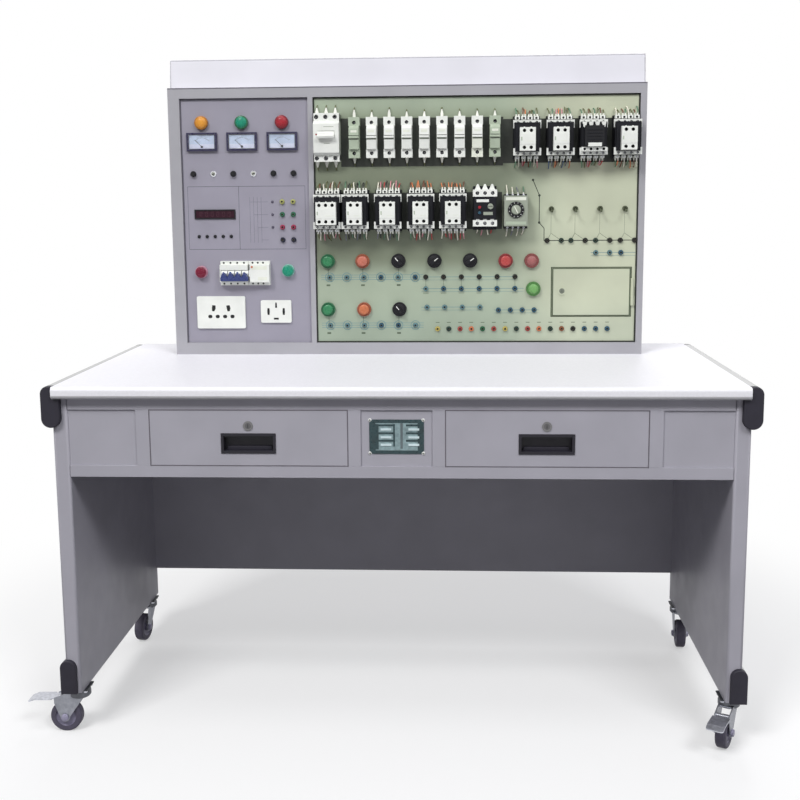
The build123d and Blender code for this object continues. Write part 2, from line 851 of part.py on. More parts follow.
def frame_strip(x_span, z_span, inner_sides):
    """A face strip with a return along each side that borders a panel."""
    face_y = (cabinet_front_y, cabinet_front_y + sheet)
    deep_y = (cabinet_front_y, cabinet_front_y + panel_recess)
    inner_x = (frame_inner_left_x, frame_inner_right_x)
    strip = block(x_span, face_y, z_span)
    for side in inner_sides:
        if side == "left":
            strip += block((x_span[0], x_span[0] + sheet), deep_y, z_span)
        if side == "right":
            strip += block((x_span[1] - sheet, x_span[1]), deep_y, z_span)
        if side == "top":
            strip += block(inner_x, deep_y, (z_span[1] - sheet, z_span[1]))
        if side == "bottom":
            strip += block(inner_x, deep_y, (z_span[0], z_span[0] + sheet))
    return strip


def cabinet_frame():
    """The front frame, in five strips."""
    z0, z1 = frame_inner_bottom_z, frame_inner_top_z
    whole_x = (cabinet_left_x, cabinet_right_x)
    return [
        frame_strip(whole_x, (worktop_height, z0), ("top",)),
        frame_strip(whole_x, (z1, cabinet_top_z), ("bottom",)),
        frame_strip((cabinet_left_x, frame_inner_left_x), (z0, z1), ("right",)),
        frame_strip((frame_inner_right_x, cabinet_right_x), (z0, z1), ("left",)),
        frame_strip((divider_left_x, divider_right_x), (z0, z1), ("left", "right")),
    ]


def cabinet_header():
    """The light box along the top: a folded sleeve with two end plates."""
    y0 = cabinet_front_y + header_setback
    z0, z1 = cabinet_top_z, cabinet_top_z + header_height
    section = outline_of((y0, z0), (cabinet_back_y, z0), (cabinet_back_y, z1), (y0 + header_lean, z1))
    inside = offset(section, amount=-sheet, kind=Kind.INTERSECTION)
    x0, x1 = cabinet_left_x, cabinet_right_x
    return [
        along_x(section - inside, (x0 + sheet, x1 - sheet)),
        along_x(section, (x0, x0 + sheet)),
        along_x(section, (x1 - sheet, x1)),
    ]


def panel_sleeve_places():
    """Places of all the round fittings: (x, z) and the radius of the bezel."""
    lamp_places = [(lamp_centre_x + step * lamp_pitch, lamp_z) for step in (-1, 0, 1)]
    on_panel = lamp_places + [stop_button_at, start_button_at]
    on_board = [
        green_button_upper_at, green_button_lower_at, orange_button_upper_at,
        orange_button_lower_at, red_button_at,
    ]
    on_board += list(selector_places) + list(board_lamp_places)
    return on_panel, on_board


def panel_sheet(x_span):
    """A flat panel that seats behind the frame's returns."""
    x0, x1 = x_span
    return block(
        (x0 - panel_rebate, x1 + panel_rebate),
        (panel_y, panel_back_y),
        (frame_inner_bottom_z - panel_rebate, frame_inner_top_z + panel_rebate),
    )


def sleeve_hole(at):
    return bar_y(at, sleeve_radius + hole_gap, panel_y, panel_back_y)


def control_panel():
    on_panel, on_board = panel_sleeve_places()
    shape = panel_sheet((frame_inner_left_x, divider_left_x))
    for at in on_panel:
        shape -= sleeve_hole(at)
    return shape


def mounting_board():
    """The board in four flush sheets, which leave the fault door's window open."""
    on_panel, on_board = panel_sleeve_places()
    x0, x3 = divider_right_x - panel_rebate, frame_inner_right_x + panel_rebate
    x1, x2 = fault_door_x[0] + fault_window_margin, fault_door_x[1] - fault_window_margin
    z0, z3 = frame_inner_bottom_z - panel_rebate, frame_inner_top_z + panel_rebate
    z1, z2 = fault_door_z[0] + fault_window_margin, fault_door_z[1] - fault_window_margin
    y_span = (panel_y, panel_back_y)
    main = block((x0, x1), y_span, (z0, z3))
    for at in on_board:
        main -= sleeve_hole(at)
    return [
        main,
        block((x2, x3), y_span, (z0, z3)),
        block((x1, x2), y_span, (z0, z1)),
        block((x1, x2), y_span, (z2, z3)),
    ]


def sleeve(at, bezel_radius):
    """A fitting's fixed sleeve: a bezel on the face, a barrel and the block behind."""
    bezel = bar_y(at, bezel_radius, panel_y - bezel_proud, panel_y)
    barrel = bar_y(at, sleeve_radius, panel_y, contact_front_y)
    bore = bar_y(at, sleeve_bore, panel_y - bezel_proud, contact_front_y)
    half = contact_block / 2
    behind = block(
        (at[0] - half, at[0] + half),
        (contact_front_y, contact_front_y + contact_depth),
        (at[1] - half, at[1] + half),
    )
    return bezel + barrel - bore + behind


def fitting_sleeves():
    on_panel, on_board = panel_sleeve_places()
    shapes = [sleeve(at, bezel_radius_panel) for at in on_panel]
    return shapes + [sleeve(at, bezel_radius_board) for at in on_board]


def plunger(at):
    """A push button's cap, which slides in its sleeve."""
    front = panel_y - bezel_proud - button_proud
    back = contact_front_y - button_travel - touch_gap
    cap = bar_y(at, cap_radius, front, back)
    rim = [e for e in cap.edges() if abs(e.center().Y - front) < 0.01]
    return fillet(rim, button_edge_radius)


def lamp_lens(at):
    """A domed lens, seated in its sleeve."""
    front = panel_y - bezel_proud - lens_proud
    cap = bar_y(at, cap_radius, front, contact_front_y)
    rim = [e for e in cap.edges() if abs(e.center().Y - front) < 0.01]
    return fillet(rim, lens_proud - lens_rim)


def selector(at):
    """A turning knob with a bar handle."""
    face = panel_y - bezel_proud - knob_rim
    rotor = bar_y(at, cap_radius, face, contact_front_y - touch_gap)
    bar = block(
        (at[0] - knob_bar_width / 2, at[0] + knob_bar_width / 2),
        (face - knob_bar_height, face),
        (at[1] - knob_bar_length / 2, at[1] + knob_bar_length / 2),
    )
    ends = [e for e in bar.edges().filter_by(Axis.Y)]
    return rotor + fillet(ends, knob_corner_radius)


def meter_places():
    return [(lamp_centre_x + step * lamp_pitch, meter_z) for step in (-1, 0, 1)]


def meter_cases():
    """Three panel meters, each a case with a sunk dial and a boss for its needle."""
    cases = []
    half_x, half_z = meter_width / 2, meter_height / 2
    front_y = panel_y - meter_proud
    dial_y = front_y + meter_window_depth
    for x, z in meter_places():
        body = block((x - half_x, x + half_x), (front_y, panel_y), (z - half_z, z + half_z))
        well = block(
            (x - half_x + meter_frame, x + half_x - meter_frame),
            (front_y, dial_y),
            (z - half_z + meter_frame, z + half_z - meter_frame),
        )
        boss = bar_y((x, z - needle_drop), needle_pin_radius, dial_y - needle_pin_height, dial_y)
        cases.append(body - well + boss)
    return cases


def meter_needle(at):
    """A needle that turns on its pin in front of the dial."""
    pivot = (at[0], at[1] - needle_drop)
    dial_y = panel_y - meter_proud + meter_window_depth
    y_span = (dial_y - needle_lift - needle_thickness, dial_y - needle_lift)
    hub = bar_y(pivot, needle_hub_radius, *y_span)
    arm = block((-needle_width / 2, needle_width / 2), y_span, (0, needle_length))
    turned = Pos(pivot[0], 0, pivot[1]) * Rot(0, -needle_rest_angle, 0) * arm
    bore = bar_y(pivot, needle_pin_radius + running_gap, y_span[0] - 1, y_span[1] + 1)
    return hub + turned - bore


def panel_instruments():
    """The timer's display and keys, the screw-cap fuses and the small status lamps."""
    pieces = []
    for index in range(screw_fuse_count):
        at = (fuse_row_left_x + index * fuse_row_pitch, fuse_row_z)
        pieces.append(bar_y(at, screw_fuse_radius, panel_y - screw_fuse_proud, panel_y))
    half_x, half_z = display_width / 2, display_height / 2
    well_x, well_z = half_x - display_rim, half_z - display_rim
    front_y = panel_y - display_proud
    bezel = block(
        (display_x - half_x, display_x + half_x), (front_y, panel_y), (display_z - half_z, display_z + half_z)
    )
    well = block(
        (display_x - well_x, display_x + well_x),
        (front_y, front_y + display_well),
        (display_z - well_z, display_z + well_z),
    )
    pieces.append(bezel - well)
    for index in range(key_count):
        at = (key_left_x + index * key_pitch, key_row_z)
        pieces.append(bar_y(at, key_radius, panel_y - key_proud, panel_y))
    for index in range(status_lamp_count):
        at = (status_lamp_x, control_socket_top_z - index * control_socket_pitch)
        pieces.append(bar_y(at, status_lamp_radius, panel_y - status_lamp_proud, panel_y))
    return pieces


def breaker_body(x_span, z_span, lever_x, base_depth, nose_depth, nose_height):
    """A moulded breaker: low terminal ends, a raised nose and a round lever slot."""
    middle_z = sum(z_span) / 2
    y0, y1, y2 = panel_y - nose_depth, panel_y - base_depth, panel_y
    n0, n1 = middle_z - nose_height / 2, middle_z + nose_height / 2
    section = outline_of(
        (y2, z_span[0]), (y2, z_span[1]), (y1, z_span[1]), (y1, n1),
        (y0, n1), (y0, n0), (y1, n0), (y1, z_span[0]),
    )
    body = along_x(section, x_span)
    slot_x = (lever_x[0] - touch_gap, lever_x[1] + touch_gap)
    slot = bar_x(y0 + lever_drum_sink, middle_z, lever_drum_radius + touch_gap, slot_x)
    return body - slot


def breaker_lever(x_span, middle_z, nose_depth):
    """A lever drum with the handle across it, resting in its lower place."""
    pivot_y = panel_y - nose_depth + lever_drum_sink
    drum = bar_x(pivot_y, middle_z, lever_drum_radius, x_span)
    handle = block(
        x_span, (-lever_handle_reach, 0), (-lever_handle_thickness / 2, lever_handle_thickness / 2)
    )
    return drum + Pos(0, pivot_y, middle_z) * Rot(lever_rest_angle, 0, 0) * handle


def board_lever_span():
    middle = sum(board_breaker_x) / 2
    return (middle - board_lever_width / 2, middle + board_lever_width / 2)


def residual_middle_z():
    return sum(residual_breaker_z) / 2


def circuit_breakers():
    main = breaker_body(
        board_breaker_x, board_breaker_z, board_lever_span(),
        breaker_base_depth, breaker_nose_depth, breaker_nose_height,
    )
    residual = breaker_body(
        residual_breaker_x, residual_breaker_z, residual_lever_x,
        residual_base_depth, residual_nose_depth, residual_nose_height,
    )
    return [main, residual]


def fuse_holders():
    """Fuse bases, each with its own swing-out carrier as a raised nose."""
    pieces = []
    half = fuse_holder_height / 2
    nose, foot = fuse_nose_half, fuse_nose_half + fuse_nose_slope
    y0, y1, y2 = panel_y - fuse_holder_depth, panel_y - fuse_base_depth, panel_y
    z = fuse_holder_z
    section = outline_of(
        (y2, z - half), (y2, z + half), (y1, z + half), (y1, z + foot),
        (y0, z + nose), (y0, z - nose), (y1, z - foot), (y1, z - half),
    )
    for index in range(fuse_holder_count):
        x = fuse_holder_left_x + index * fuse_holder_pitch
        pieces.append(along_x(section, (x - fuse_holder_width / 2, x + fuse_holder_width / 2)))
    return pieces


def contactor(x, z):
    """A contactor: base with terminal steps, a narrower nose and its auxiliary block."""
    half_w, half_h = contactor_width / 2, contactor_height / 2
    nose_h = half_h - contactor_nose_inset
    rail_h = half_h - terminal_step_height
    y0 = panel_y - contactor_nose_depth
    y1 = panel_y - contactor_base_depth
    y2 = y1 + terminal_step_depth
    section = outline_of(
        (panel_y, z - half_h), (panel_y, z + half_h), (y2, z + half_h), (y2, z + rail_h),
        (y1, z + rail_h), (y1, z + nose_h), (y0, z + nose_h), (y0, z - nose_h),
        (y1, z - nose_h), (y1, z - rail_h), (y2, z - rail_h), (y2, z - half_h),
    )
    body = along_x(section, (x - half_w, x + half_w))
    bw, bh = contactor_block_width / 2, contactor_block_height / 2
    front = block((x - bw, x + bw), (panel_y - contactor_block_depth, y0), (z - bh, z + bh))
    return [body, front]


def contactors():
    pieces = []
    for index in range(4):
        pieces += contactor(upper_contactor_left_x + index * upper_contactor_pitch, upper_contactor_z)
    for x in lower_contactor_places:
        pieces += contactor(x, lower_contactor_z)
    return pieces


def relays():
    """The thermal relay and the time relay with its dial."""
    x, z = thermal_relay_at
    w, h, d = thermal_relay_size
    thermal = block((x - w / 2, x + w / 2), (panel_y - d, panel_y), (z - h / 2, z + h / 2))
    step_z = (z - h / 2, z - h / 2 + thermal_step_height)
    thermal -= block((x - w / 2, x + w / 2), (panel_y - d, panel_y - d / 2), step_z)
    x, z = time_relay_at
    w, h, d = time_relay_size
    timer = block((x - w / 2, x + w / 2), (panel_y - d, panel_y), (z - h / 2, z + h / 2))
    dial = bar_y((x, z + time_dial_lift), time_dial_radius, panel_y - d - time_dial_proud, panel_y - d)
    return [thermal, timer, dial]


def outlet(at, size):
    """An outlet plate with a sunk middle."""
    half_x, half_z = size[0] / 2, size[1] / 2
    face_y = (panel_y - outlet_proud, panel_y)
    plate = block((at[0] - half_x, at[0] + half_x), face_y, (at[1] - half_z, at[1] + half_z))
    rim = [e for e in plate.edges().filter_by(Axis.Y)]
    return fillet(rim, outlet_corner_radius)


def slot_in(plate, at, width, height):
    """Cut one contact slot into an outlet plate."""
    x_span = (at[0] - width / 2, at[0] + width / 2)
    return plate - block(x_span, (panel_y - outlet_proud, panel_y), (at[1] - height / 2, at[1] + height / 2))


def power_outlets():
    x, z = wide_outlet_at
    wide = outlet(wide_outlet_at, wide_outlet_size)
    for side in (-pole_spacing / 2, pole_spacing / 2):
        wide = slot_in(wide, (x + side, z + two_pin_lift), blade_slot_width, two_pin_length)
        for step in (-three_pin_half, three_pin_half):
            wide = slot_in(wide, (x + side + step, z - three_pin_drop), blade_slot_width, three_pin_length)
    x, z = small_outlet_at
    small = outlet(small_outlet_at, small_outlet_size)
    for side in (-small_pole_spacing / 2, small_pole_spacing / 2):
        small = slot_in(small, (x + side, z - small_slot_drop), blade_slot_width, small_slot_length)
    small = slot_in(small, (x, z + small_slot_rise), blade_slot_width, small_slot_length)
    small = slot_in(small, (x, z - small_slot_low), small_slot_length, blade_slot_width)
    return [wide, small]


def socket_places():
    """Every 4 mm socket on both panels, row by row."""
    places = []
    for column in control_socket_columns:
        for row in range(control_socket_count):
            places.append((column, control_socket_top_z - row * control_socket_pitch))
    for first_x, pitch, count, z in socket_rows:
        for index in range(count):
            places.append((first_x + index * pitch, z))
    for x in toggle_places:
        places.append((x - toggle_socket_left, toggle_socket_z))
        places.append((x + toggle_socket_right, toggle_socket_z))
    for x in blue_socket_places:
        places.append((x, blue_socket_z))
    for z in left_socket_rows:
        for index in range(left_socket_count):
            places.append((left_socket_x + index * left_socket_pitch, z))
    return places


def socket(at):
    front = panel_y - socket_proud
    body = bar_y(at, socket_radius, front, panel_y)
    return body - bar_y(at, socket_bore_radius, front, front + socket_bore_depth)


def toggle_bushes():
    pieces = []
    for x in toggle_places:
        at = (x, toggle_z)
        bush = bar_y(at, toggle_bush_radius, panel_y - toggle_bush_proud, panel_y)
        bore = bar_y(at, toggle_bush_bore, panel_y - toggle_bush_proud, panel_y - 0.1)
        pieces.append(bush - bore)
    return pieces


def toggle(x):
    """A bat lever on its ball and its two trunnions, resting tilted down."""
    trunnions = bar_x(0, 0, toggle_trunnion_radius, (-toggle_trunnion_reach, toggle_trunnion_reach))
    ball = Sphere(toggle_ball_radius) + trunnions
    end_y = -toggle_lever_length
    tip_front_y = end_y - toggle_tip_proud
    stem = bar_y((0, 0), toggle_lever_radius, end_y, 0)
    tip = bar_y((0, 0), toggle_tip_radius, tip_front_y, tip_front_y + toggle_tip_length)
    lever = ball + stem + tip
    return Pos(x, panel_y - toggle_pivot_depth, toggle_z) * Rot(toggle_tilt, 0, 0) * lever


# Fault box, its door and its lock

def hinge_axis():
    return (fault_door_x[1] + hinge_knuckle_radius, panel_y - hinge_knuckle_radius - touch_gap)


def knuckle(z_span):
    x, y = hinge_axis()
    length = z_span[1] - z_span[0]
    middle = Pos(x, y, sum(z_span) / 2)
    bore = Cylinder(hinge_pin_radius + running_gap, length)
    return middle * (Cylinder(hinge_knuckle_radius, length) - bore)


def knuckle_spans():
    """Three knuckles of one hinge, in the middle of the door's height."""
    middle = sum(fault_door_z) / 2
    low = middle - 1.5 * hinge_knuckle_length
    return [
        (low + index * hinge_knuckle_length + touch_gap, low + (index + 1) * hinge_knuckle_length)
        for index in range(3)
    ]


def fault_box():
    """The recessed box behind the board with the fixed half of the hinge."""
    x0, x1 = fault_door_x[0] - fault_box_margin, fault_door_x[1] + fault_box_margin
    z0, z1 = fault_door_z[0] - fault_box_margin, fault_door_z[1] + fault_box_margin
    y0, y1 = panel_back_y, panel_back_y + fault_box_depth
    walls = [
        block((x0, x1), (y1, y1 + sheet), (z0, z1)),
        block((x0, x1), (y0, y1), (z0, z0 + sheet)),
        block((x0, x1), (y0, y1), (z1 - sheet, z1)),
        block((x0, x0 + sheet), (y0, y1), (z0 + sheet, z1 - sheet)),
        block((x1 - sheet, x1), (y0, y1), (z0 + sheet, z1 - sheet)),
    ]
    x, y = hinge_axis()
    spans = knuckle_spans()
    fixed = []
    for span in (spans[0], spans[2]):
        leaf = block((x, x + hinge_leaf_reach), (panel_y - sheet, panel_y), span)
        barrel = Pos(x, y, sum(span) / 2) * Cylinder(hinge_knuckle_radius, span[1] - span[0])
        wing = block((x, x + hinge_knuckle_radius), (y, panel_y), span)
        fixed.append(leaf + barrel + wing)
    pin_span = (spans[0][1], spans[2][0])
    pin = Pos(x, y, sum(pin_span) / 2) * Cylinder(hinge_pin_radius, pin_span[1] - pin_span[0])
    return walls + [fixed[0] + pin + fixed[1]]


def door_lock_at():
    return (fault_door_x[0] + door_lock_inset, sum(fault_door_z) / 2 + door_lock_lift)


def door_face_y():
    return panel_y - touch_gap - fault_door_thickness


def fault_door():
    """The door's sheet with its middle knuckle and the lock's ring."""
    face = door_face_y()
    sheet_y = (face, face + fault_door_thickness)
    shape = block(fault_door_x, sheet_y, fault_door_z)
    span = knuckle_spans()[1]
    x, y = hinge_axis()
    arm = block((x - hinge_knuckle_radius - hinge_arm_reach, x), (face, face + fault_door_thickness), span)
    bore = Pos(x, y, sum(span) / 2) * Cylinder(hinge_pin_radius + running_gap, 2 * hinge_knuckle_length)
    shape = shape + arm + knuckle(span) - bore
    at = door_lock_at()
    shape -= bar_y(at, lock_plug_radius + pull_wall, *sheet_y)
    ring = lock_ring(at, face, panel_back_y + cam_clearance - touch_gap, pull_wall)
    return [shape, ring]


def build():
    os.makedirs("parts", exist_ok=True)
    save("worktop", worktop())
    save("side_rails", *side_rails())
    save("rail_end_caps", *rail_end_caps())
    right_leg = leg()
    save("leg_right", right_leg)
    save("leg_left", mirrored(right_leg))
    save("modesty_panel", modesty_panel())
    save("apron", *apron())
    save("drawer_runners", *drawer_runners())
    for name, centre_x in (("left", -drawer_centre_x), ("right", drawer_centre_x)):
        save(f"drawer_{name}", *drawer(centre_x))
        at = (centre_x, drawer_middle_z + lock_offset_z)
        save(f"drawer_lock_{name}", lock_plug(at, apron_front_y, cam_y, cam_length, (-1, 0)))
    casters()
    save("cabinet_shell", *cabinet_shell())
    save("cabinet_frame", *cabinet_frame())
    save("cabinet_header", *cabinet_header())
    save("control_panel", control_panel())
    save("mounting_board", *mounting_board())
    save("fitting_sleeves", *fitting_sleeves(), *toggle_bushes())
    buttons = {
        "stop_button": stop_button_at,
        "start_button": start_button_at,
        "green_button_upper": green_button_upper_at,
        "green_button_lower": green_button_lower_at,
        "orange_button_upper": orange_button_upper_at,
        "orange_button_lower": orange_button_lower_at,
        "red_button": red_button_at,
    }
    for name, at in buttons.items():
        save(name, plunger(at))
    on_panel, on_board = panel_sleeve_places()
    save("indicator_lamps", *[lamp_lens(at) for at in on_panel[:3] + list(board_lamp_places)])
    for index, at in enumerate(selector_places):
        save(f"selector_{index + 1}", selector(at))
    for index, x in enumerate(toggle_places):
        save(f"toggle_{index + 1}", toggle(x))
    save("meter_cases", *meter_cases())
    for index, at in enumerate(meter_places()):
        save(f"meter_needle_{index + 1}", meter_needle(at))
    save("panel_instruments", *panel_instruments())
    save("circuit_breakers", *circuit_breakers())
    board_middle_z = sum(board_breaker_z) / 2
    save("main_breaker_lever", breaker_lever(board_lever_span(), board_middle_z, breaker_nose_depth))
    save("residual_breaker_lever", breaker_lever(residual_lever_x, residual_middle_z(), residual_nose_depth))
    save("fuse_holders", *fuse_holders())
    save("contactors_and_relays", *contactors(), *relays())
    save("power_outlets", *power_outlets())
    save("terminal_sockets", *[socket(at) for at in socket_places()])
    save("fault_box", *fault_box())
    save("fault_door", *fault_door())
    door_cam_y = panel_back_y + cam_clearance
    save("fault_door_lock", lock_plug(door_lock_at(), door_face_y(), door_cam_y, door_cam_length, (0, -1)))


build()
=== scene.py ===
"""Looks of an electrical skills training bench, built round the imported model. Sizes are in millimetres."""
import json
import math
import random

import bmesh
import bpy
from mathutils import Matrix, Vector


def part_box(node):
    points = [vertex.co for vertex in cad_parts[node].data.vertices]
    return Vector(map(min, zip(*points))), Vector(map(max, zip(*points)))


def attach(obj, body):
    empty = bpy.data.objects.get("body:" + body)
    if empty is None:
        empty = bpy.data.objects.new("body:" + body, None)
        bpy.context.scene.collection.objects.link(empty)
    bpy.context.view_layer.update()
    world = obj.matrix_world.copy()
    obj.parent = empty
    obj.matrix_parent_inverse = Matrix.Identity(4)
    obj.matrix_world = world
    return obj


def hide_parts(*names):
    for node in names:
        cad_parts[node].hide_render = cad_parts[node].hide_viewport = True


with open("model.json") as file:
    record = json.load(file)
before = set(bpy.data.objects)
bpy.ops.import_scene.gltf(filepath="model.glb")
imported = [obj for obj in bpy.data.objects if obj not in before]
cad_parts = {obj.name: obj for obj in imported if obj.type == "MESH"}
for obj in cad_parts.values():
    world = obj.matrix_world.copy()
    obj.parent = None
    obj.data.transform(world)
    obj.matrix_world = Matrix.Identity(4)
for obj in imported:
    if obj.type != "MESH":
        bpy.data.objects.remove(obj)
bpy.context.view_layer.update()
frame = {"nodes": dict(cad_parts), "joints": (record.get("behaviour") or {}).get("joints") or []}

nodes = frame["nodes"]
random.seed(7)
MM = 0.001

# Planes and places that several pieces share

PANEL_Y = 165.0
APRON_Y = -350.0
FRAME_Y = 157.0
DOOR_FACE_Y = 162.7
CABINET_REAR_Y = 375.0
CABINET_SIDE_X = 620.0
HEADER_FOOT_Y = 189.0
HEADER_FOOT_Z = 1540.0
DRAWER_X = 333.0
LOCK_Z = 749.0
PULL_Z = 709.0
METER_COLUMNS = (-534, -428, -322)
METER_Z = 1402
LAMP_Z = 1451
PHASE_ROWS = (1245, 1211.7, 1178.4, 1145.1)
UPPER_BUTTON_Z = 1088
LOWER_BUTTON_Z = 960
UPPER_TAP_Z = 1045
LOWER_TAP_Z = 917
TAP_X = -203
TAP_PITCH = 45.4
TAP_COUNT = 6
FOOT_ROW_X = 83
FOOT_ROW_PITCH = 29.8
SWITCH_ROW_Z = 1139
CASTERS = ("front_left", "front_right", "rear_left", "rear_right")


# Shader nodes

def linear(colour, factor=1.0):
    """A colour written as 0 to 255, made lighter or darker, for Blender's shaders."""
    parts = []
    for value in colour:
        share = min(255.0, value * factor) / 255
        parts.append(share / 12.92 if share <= 0.04045 else ((share + 0.055) / 1.055) ** 2.4)
    return (*parts, 1.0)


def shader_node(tree, kind, values=(), links=(), **settings):
    """A shader node with its settings, then its sockets' values and what feeds them."""
    item = tree.nodes.new(f"ShaderNode{kind}")
    for name, setting in settings.items():
        setattr(item, name, setting)
    for socket, value in dict(values).items():
        item.inputs[socket].default_value = value
    for socket, source in dict(links).items():
        tree.links.new(source, item.inputs[socket])
    return item


def noise(tree, source, size, detail=3.0):
    return shader_node(tree, "TexNoise", {"Scale": size, "Detail": detail}, {"Vector": source}).outputs["Fac"]


def spread(tree, factor, low, high):
    """Stretches the middle of a noise to run from low to high."""
    values = {"From Min": 0.3, "From Max": 0.7, "To Min": low, "To Max": high}
    return shader_node(tree, "MapRange", values, {"Value": factor}).outputs["Result"]


def smooth_step(tree, source, low, high):
    """Nought at low, one at high, and smooth between them."""
    values = {"From Min": low, "From Max": high}
    step = shader_node(tree, "MapRange", values, {"Value": source}, interpolation_type="SMOOTHSTEP")
    return step.outputs["Result"]


def arithmetic(tree, operation, first, second):
    links = {0: first, 1: second}
    return shader_node(tree, "Math", links=links, operation=operation).outputs[0]


def mixed(tree, factor, first, second):
    return shader_node(tree, "MixShader", links={"Fac": factor, 1: first, 2: second}).outputs[0]


# Finishes

RELIEF_DEPTH = 0.0004
GLOSS_NOISE = 2.3


def finish(name, colour, rough, metal=0.0, mottle=0.03, mottle_size=30.0, rough_spread=0.06,
           grain=900.0, bump=0.05, stretch=(1, 1, 1), **sockets):
    """A surface whose colour, gloss and fine relief vary a little over its face."""
    material = bpy.data.materials.new(name)
    material.use_nodes = True
    tree = material.node_tree
    place = shader_node(tree, "TexCoord").outputs["Object"]
    source = shader_node(tree, "Mapping", {"Scale": stretch}, {"Vector": place}).outputs["Vector"]
    tints = {"A": linear(colour, 1 - mottle), "B": linear(colour, 1 + mottle)}
    share = spread(tree, noise(tree, source, mottle_size), 0.0, 1.0)
    tone = shader_node(tree, "Mix", tints, {"Factor": share}, data_type="RGBA").outputs["Result"]
    wear = noise(tree, source, mottle_size * GLOSS_NOISE)
    roughness = spread(tree, wear, rough - rough_spread, rough + rough_spread)
    depth = {"Strength": bump, "Distance": RELIEF_DEPTH}
    relief = shader_node(tree, "Bump", depth, {"Height": noise(tree, source, grain, 2.0)}).outputs["Normal"]
    shader = tree.nodes["Principled BSDF"]
    for socket, result in (("Base Color", tone), ("Roughness", roughness), ("Normal", relief)):
        tree.links.new(result, shader.inputs[socket])
    shader.inputs["Metallic"].default_value = metal
    for socket, value in sockets.items():
        shader.inputs[socket.replace("_", " ").title().replace("Ior", "IOR")].default_value = value
    return material


def board_with_painted_shade():
    """Sage paint, with painted shade behind the switchgear, and duller on the left and near the bottom."""
    material = finish("board_paint", (195, 200, 176), 0.40, mottle=0.035, mottle_size=7, bump=0.10)
    tree = material.node_tree
    paint = tree.nodes["Principled BSDF"].inputs["Base Color"]
    place = shader_node(tree, "TexCoord").outputs["Object"]
    split = shader_node(tree, "SeparateXYZ", links={0: place}).outputs
    left = smooth_step(tree, split["X"], 0.45, 0.22)
    # Painted shade: the rows and behind masks darken the board behind the switchgear, where the devices shade
    # it.
    rows = smooth_step(tree, split["Z"], 1.035, 1.10)
    behind = arithmetic(tree, "MULTIPLY", rows, smooth_step(tree, split["X"], 0.40, 0.20))
    behind = arithmetic(tree, "MULTIPLY", behind, smooth_step(tree, split["Z"], 1.50, 1.44))
    foot = smooth_step(tree, split["Z"], 1.01, 0.90)
    total = paint.links[0].from_socket
    for share, tint in ((left, (0.66, 0.73, 0.74)), (behind, (0.50, 0.49, 0.45)), (foot, (0.88, 0.90, 0.92))):
        links = {"Factor": share, "A": total}
        mix = shader_node(tree, "Mix", {"B": (*tint, 1.0)}, links, data_type="RGBA", blend_type="MULTIPLY")
        total = mix.outputs["Result"]
    tree.links.new(total, paint)
    return material


def gloss(name, colour):
    """A coloured moulded plastic with a soft shine."""
    return finish(name, colour, 0.28, mottle=0.05, mottle_size=90, specular_ior_level=0.35)


def printed(name, colour):
    return finish(name, colour, 0.6, mottle=0.05, bump=0.02)


BRUSHED = (1.0, 0.03, 1.0)
COAT = {"mottle": 0.02, "grain": 950, "bump": 0.14, "mottle_size": 9}
grey_paint = finish("grey_powder_coat", (169, 167, 177), 0.46, **COAT)
cabinet_paint = finish("cabinet_powder_coat", (163, 162, 168), 0.46, **COAT)
panel_paint = finish("panel_powder_coat", (148, 145, 158), 0.44, mottle=0.02, grain=950, bump=0.12,
                     mottle_size=12)
white_paint = finish("white_powder_coat", (219, 218, 226), 0.42, mottle=0.012, bump=0.10, mottle_size=8)
laminate = finish("white_laminate", (241, 240, 246), 0.42, mottle=0.012, mottle_size=160, grain=1600,
                  bump=0.06, specular_ior_level=0.22)
nose = finish("worktop_edge_band", (196, 195, 199), 0.38, mottle=0.02, grain=1200)
aluminium = finish("rail_aluminium", (186, 186, 186), 0.42, metal=0.3, stretch=BRUSHED, grain=1100, bump=0.10)
# The board's paint carries painted shade behind the switchgear rows.
board_paint = board_with_painted_shade()
# Near-black strips of painted shade, laid on the board behind the switchgear rows and between the devices.
painted_shade_strip = finish("switchgear_painted_shade", (38, 42, 36), 0.6, mottle=0.12, mottle_size=25, bump=0.10)
edging = finish("panel_edging", (98, 96, 106), 0.6, mottle=0.06, bump=0.08)
edging_light = finish("header_edging", (176, 175, 184), 0.5, mottle=0.04, bump=0.06)
gap_line = finish("apron_gap", (104, 100, 108), 0.6, mottle=0.06, bump=0.06)
gasket = finish("rubber_gasket", (52, 54, 50), 0.6, mottle=0.08, bump=0.10, specular_ior_level=0.2)

STEEL = {"mottle_size": 90, "grain": 500, "bump": 0.08}
fork_steel = finish("fork_steel", (150, 152, 160), 0.38, metal=0.75, mottle=0.07, **STEEL)
plate_steel = finish("plate_steel", (58, 60, 64), 0.45, metal=0.4, mottle=0.10, **STEEL)
race_steel = finish("race_steel", (104, 106, 112), 0.4, metal=0.5, mottle=0.08, grain=500)
zinc = finish("zinc_steel", (196, 198, 206), 0.34, metal=0.9, mottle=0.08, mottle_size=120, grain=500,
              bump=0.08)
chrome = finish("chrome", (222, 223, 228), 0.16, metal=1.0, mottle=0.02, rough_spread=0.04, grain=300,
                bump=0.02)
brass = finish("contact_metal", (92, 88, 78), 0.42, metal=1.0, mottle=0.06, grain=400)
nickel = finish("dull_nickel", (84, 90, 70), 0.5, metal=0.4, mottle=0.06, grain=300, bump=0.03)
TURNED = {"mottle": 0.05, "grain": 300, "bump": 0.03}
lock_ring = finish("drawer_lock_ring", (122, 121, 122), 0.38, metal=0.35, **TURNED)
lock_plug = finish("drawer_lock_plug", (98, 97, 99), 0.36, metal=0.35, **TURNED)
lock_grey = finish("lock_grey", (116, 122, 110), 0.4, metal=0.3, **TURNED)

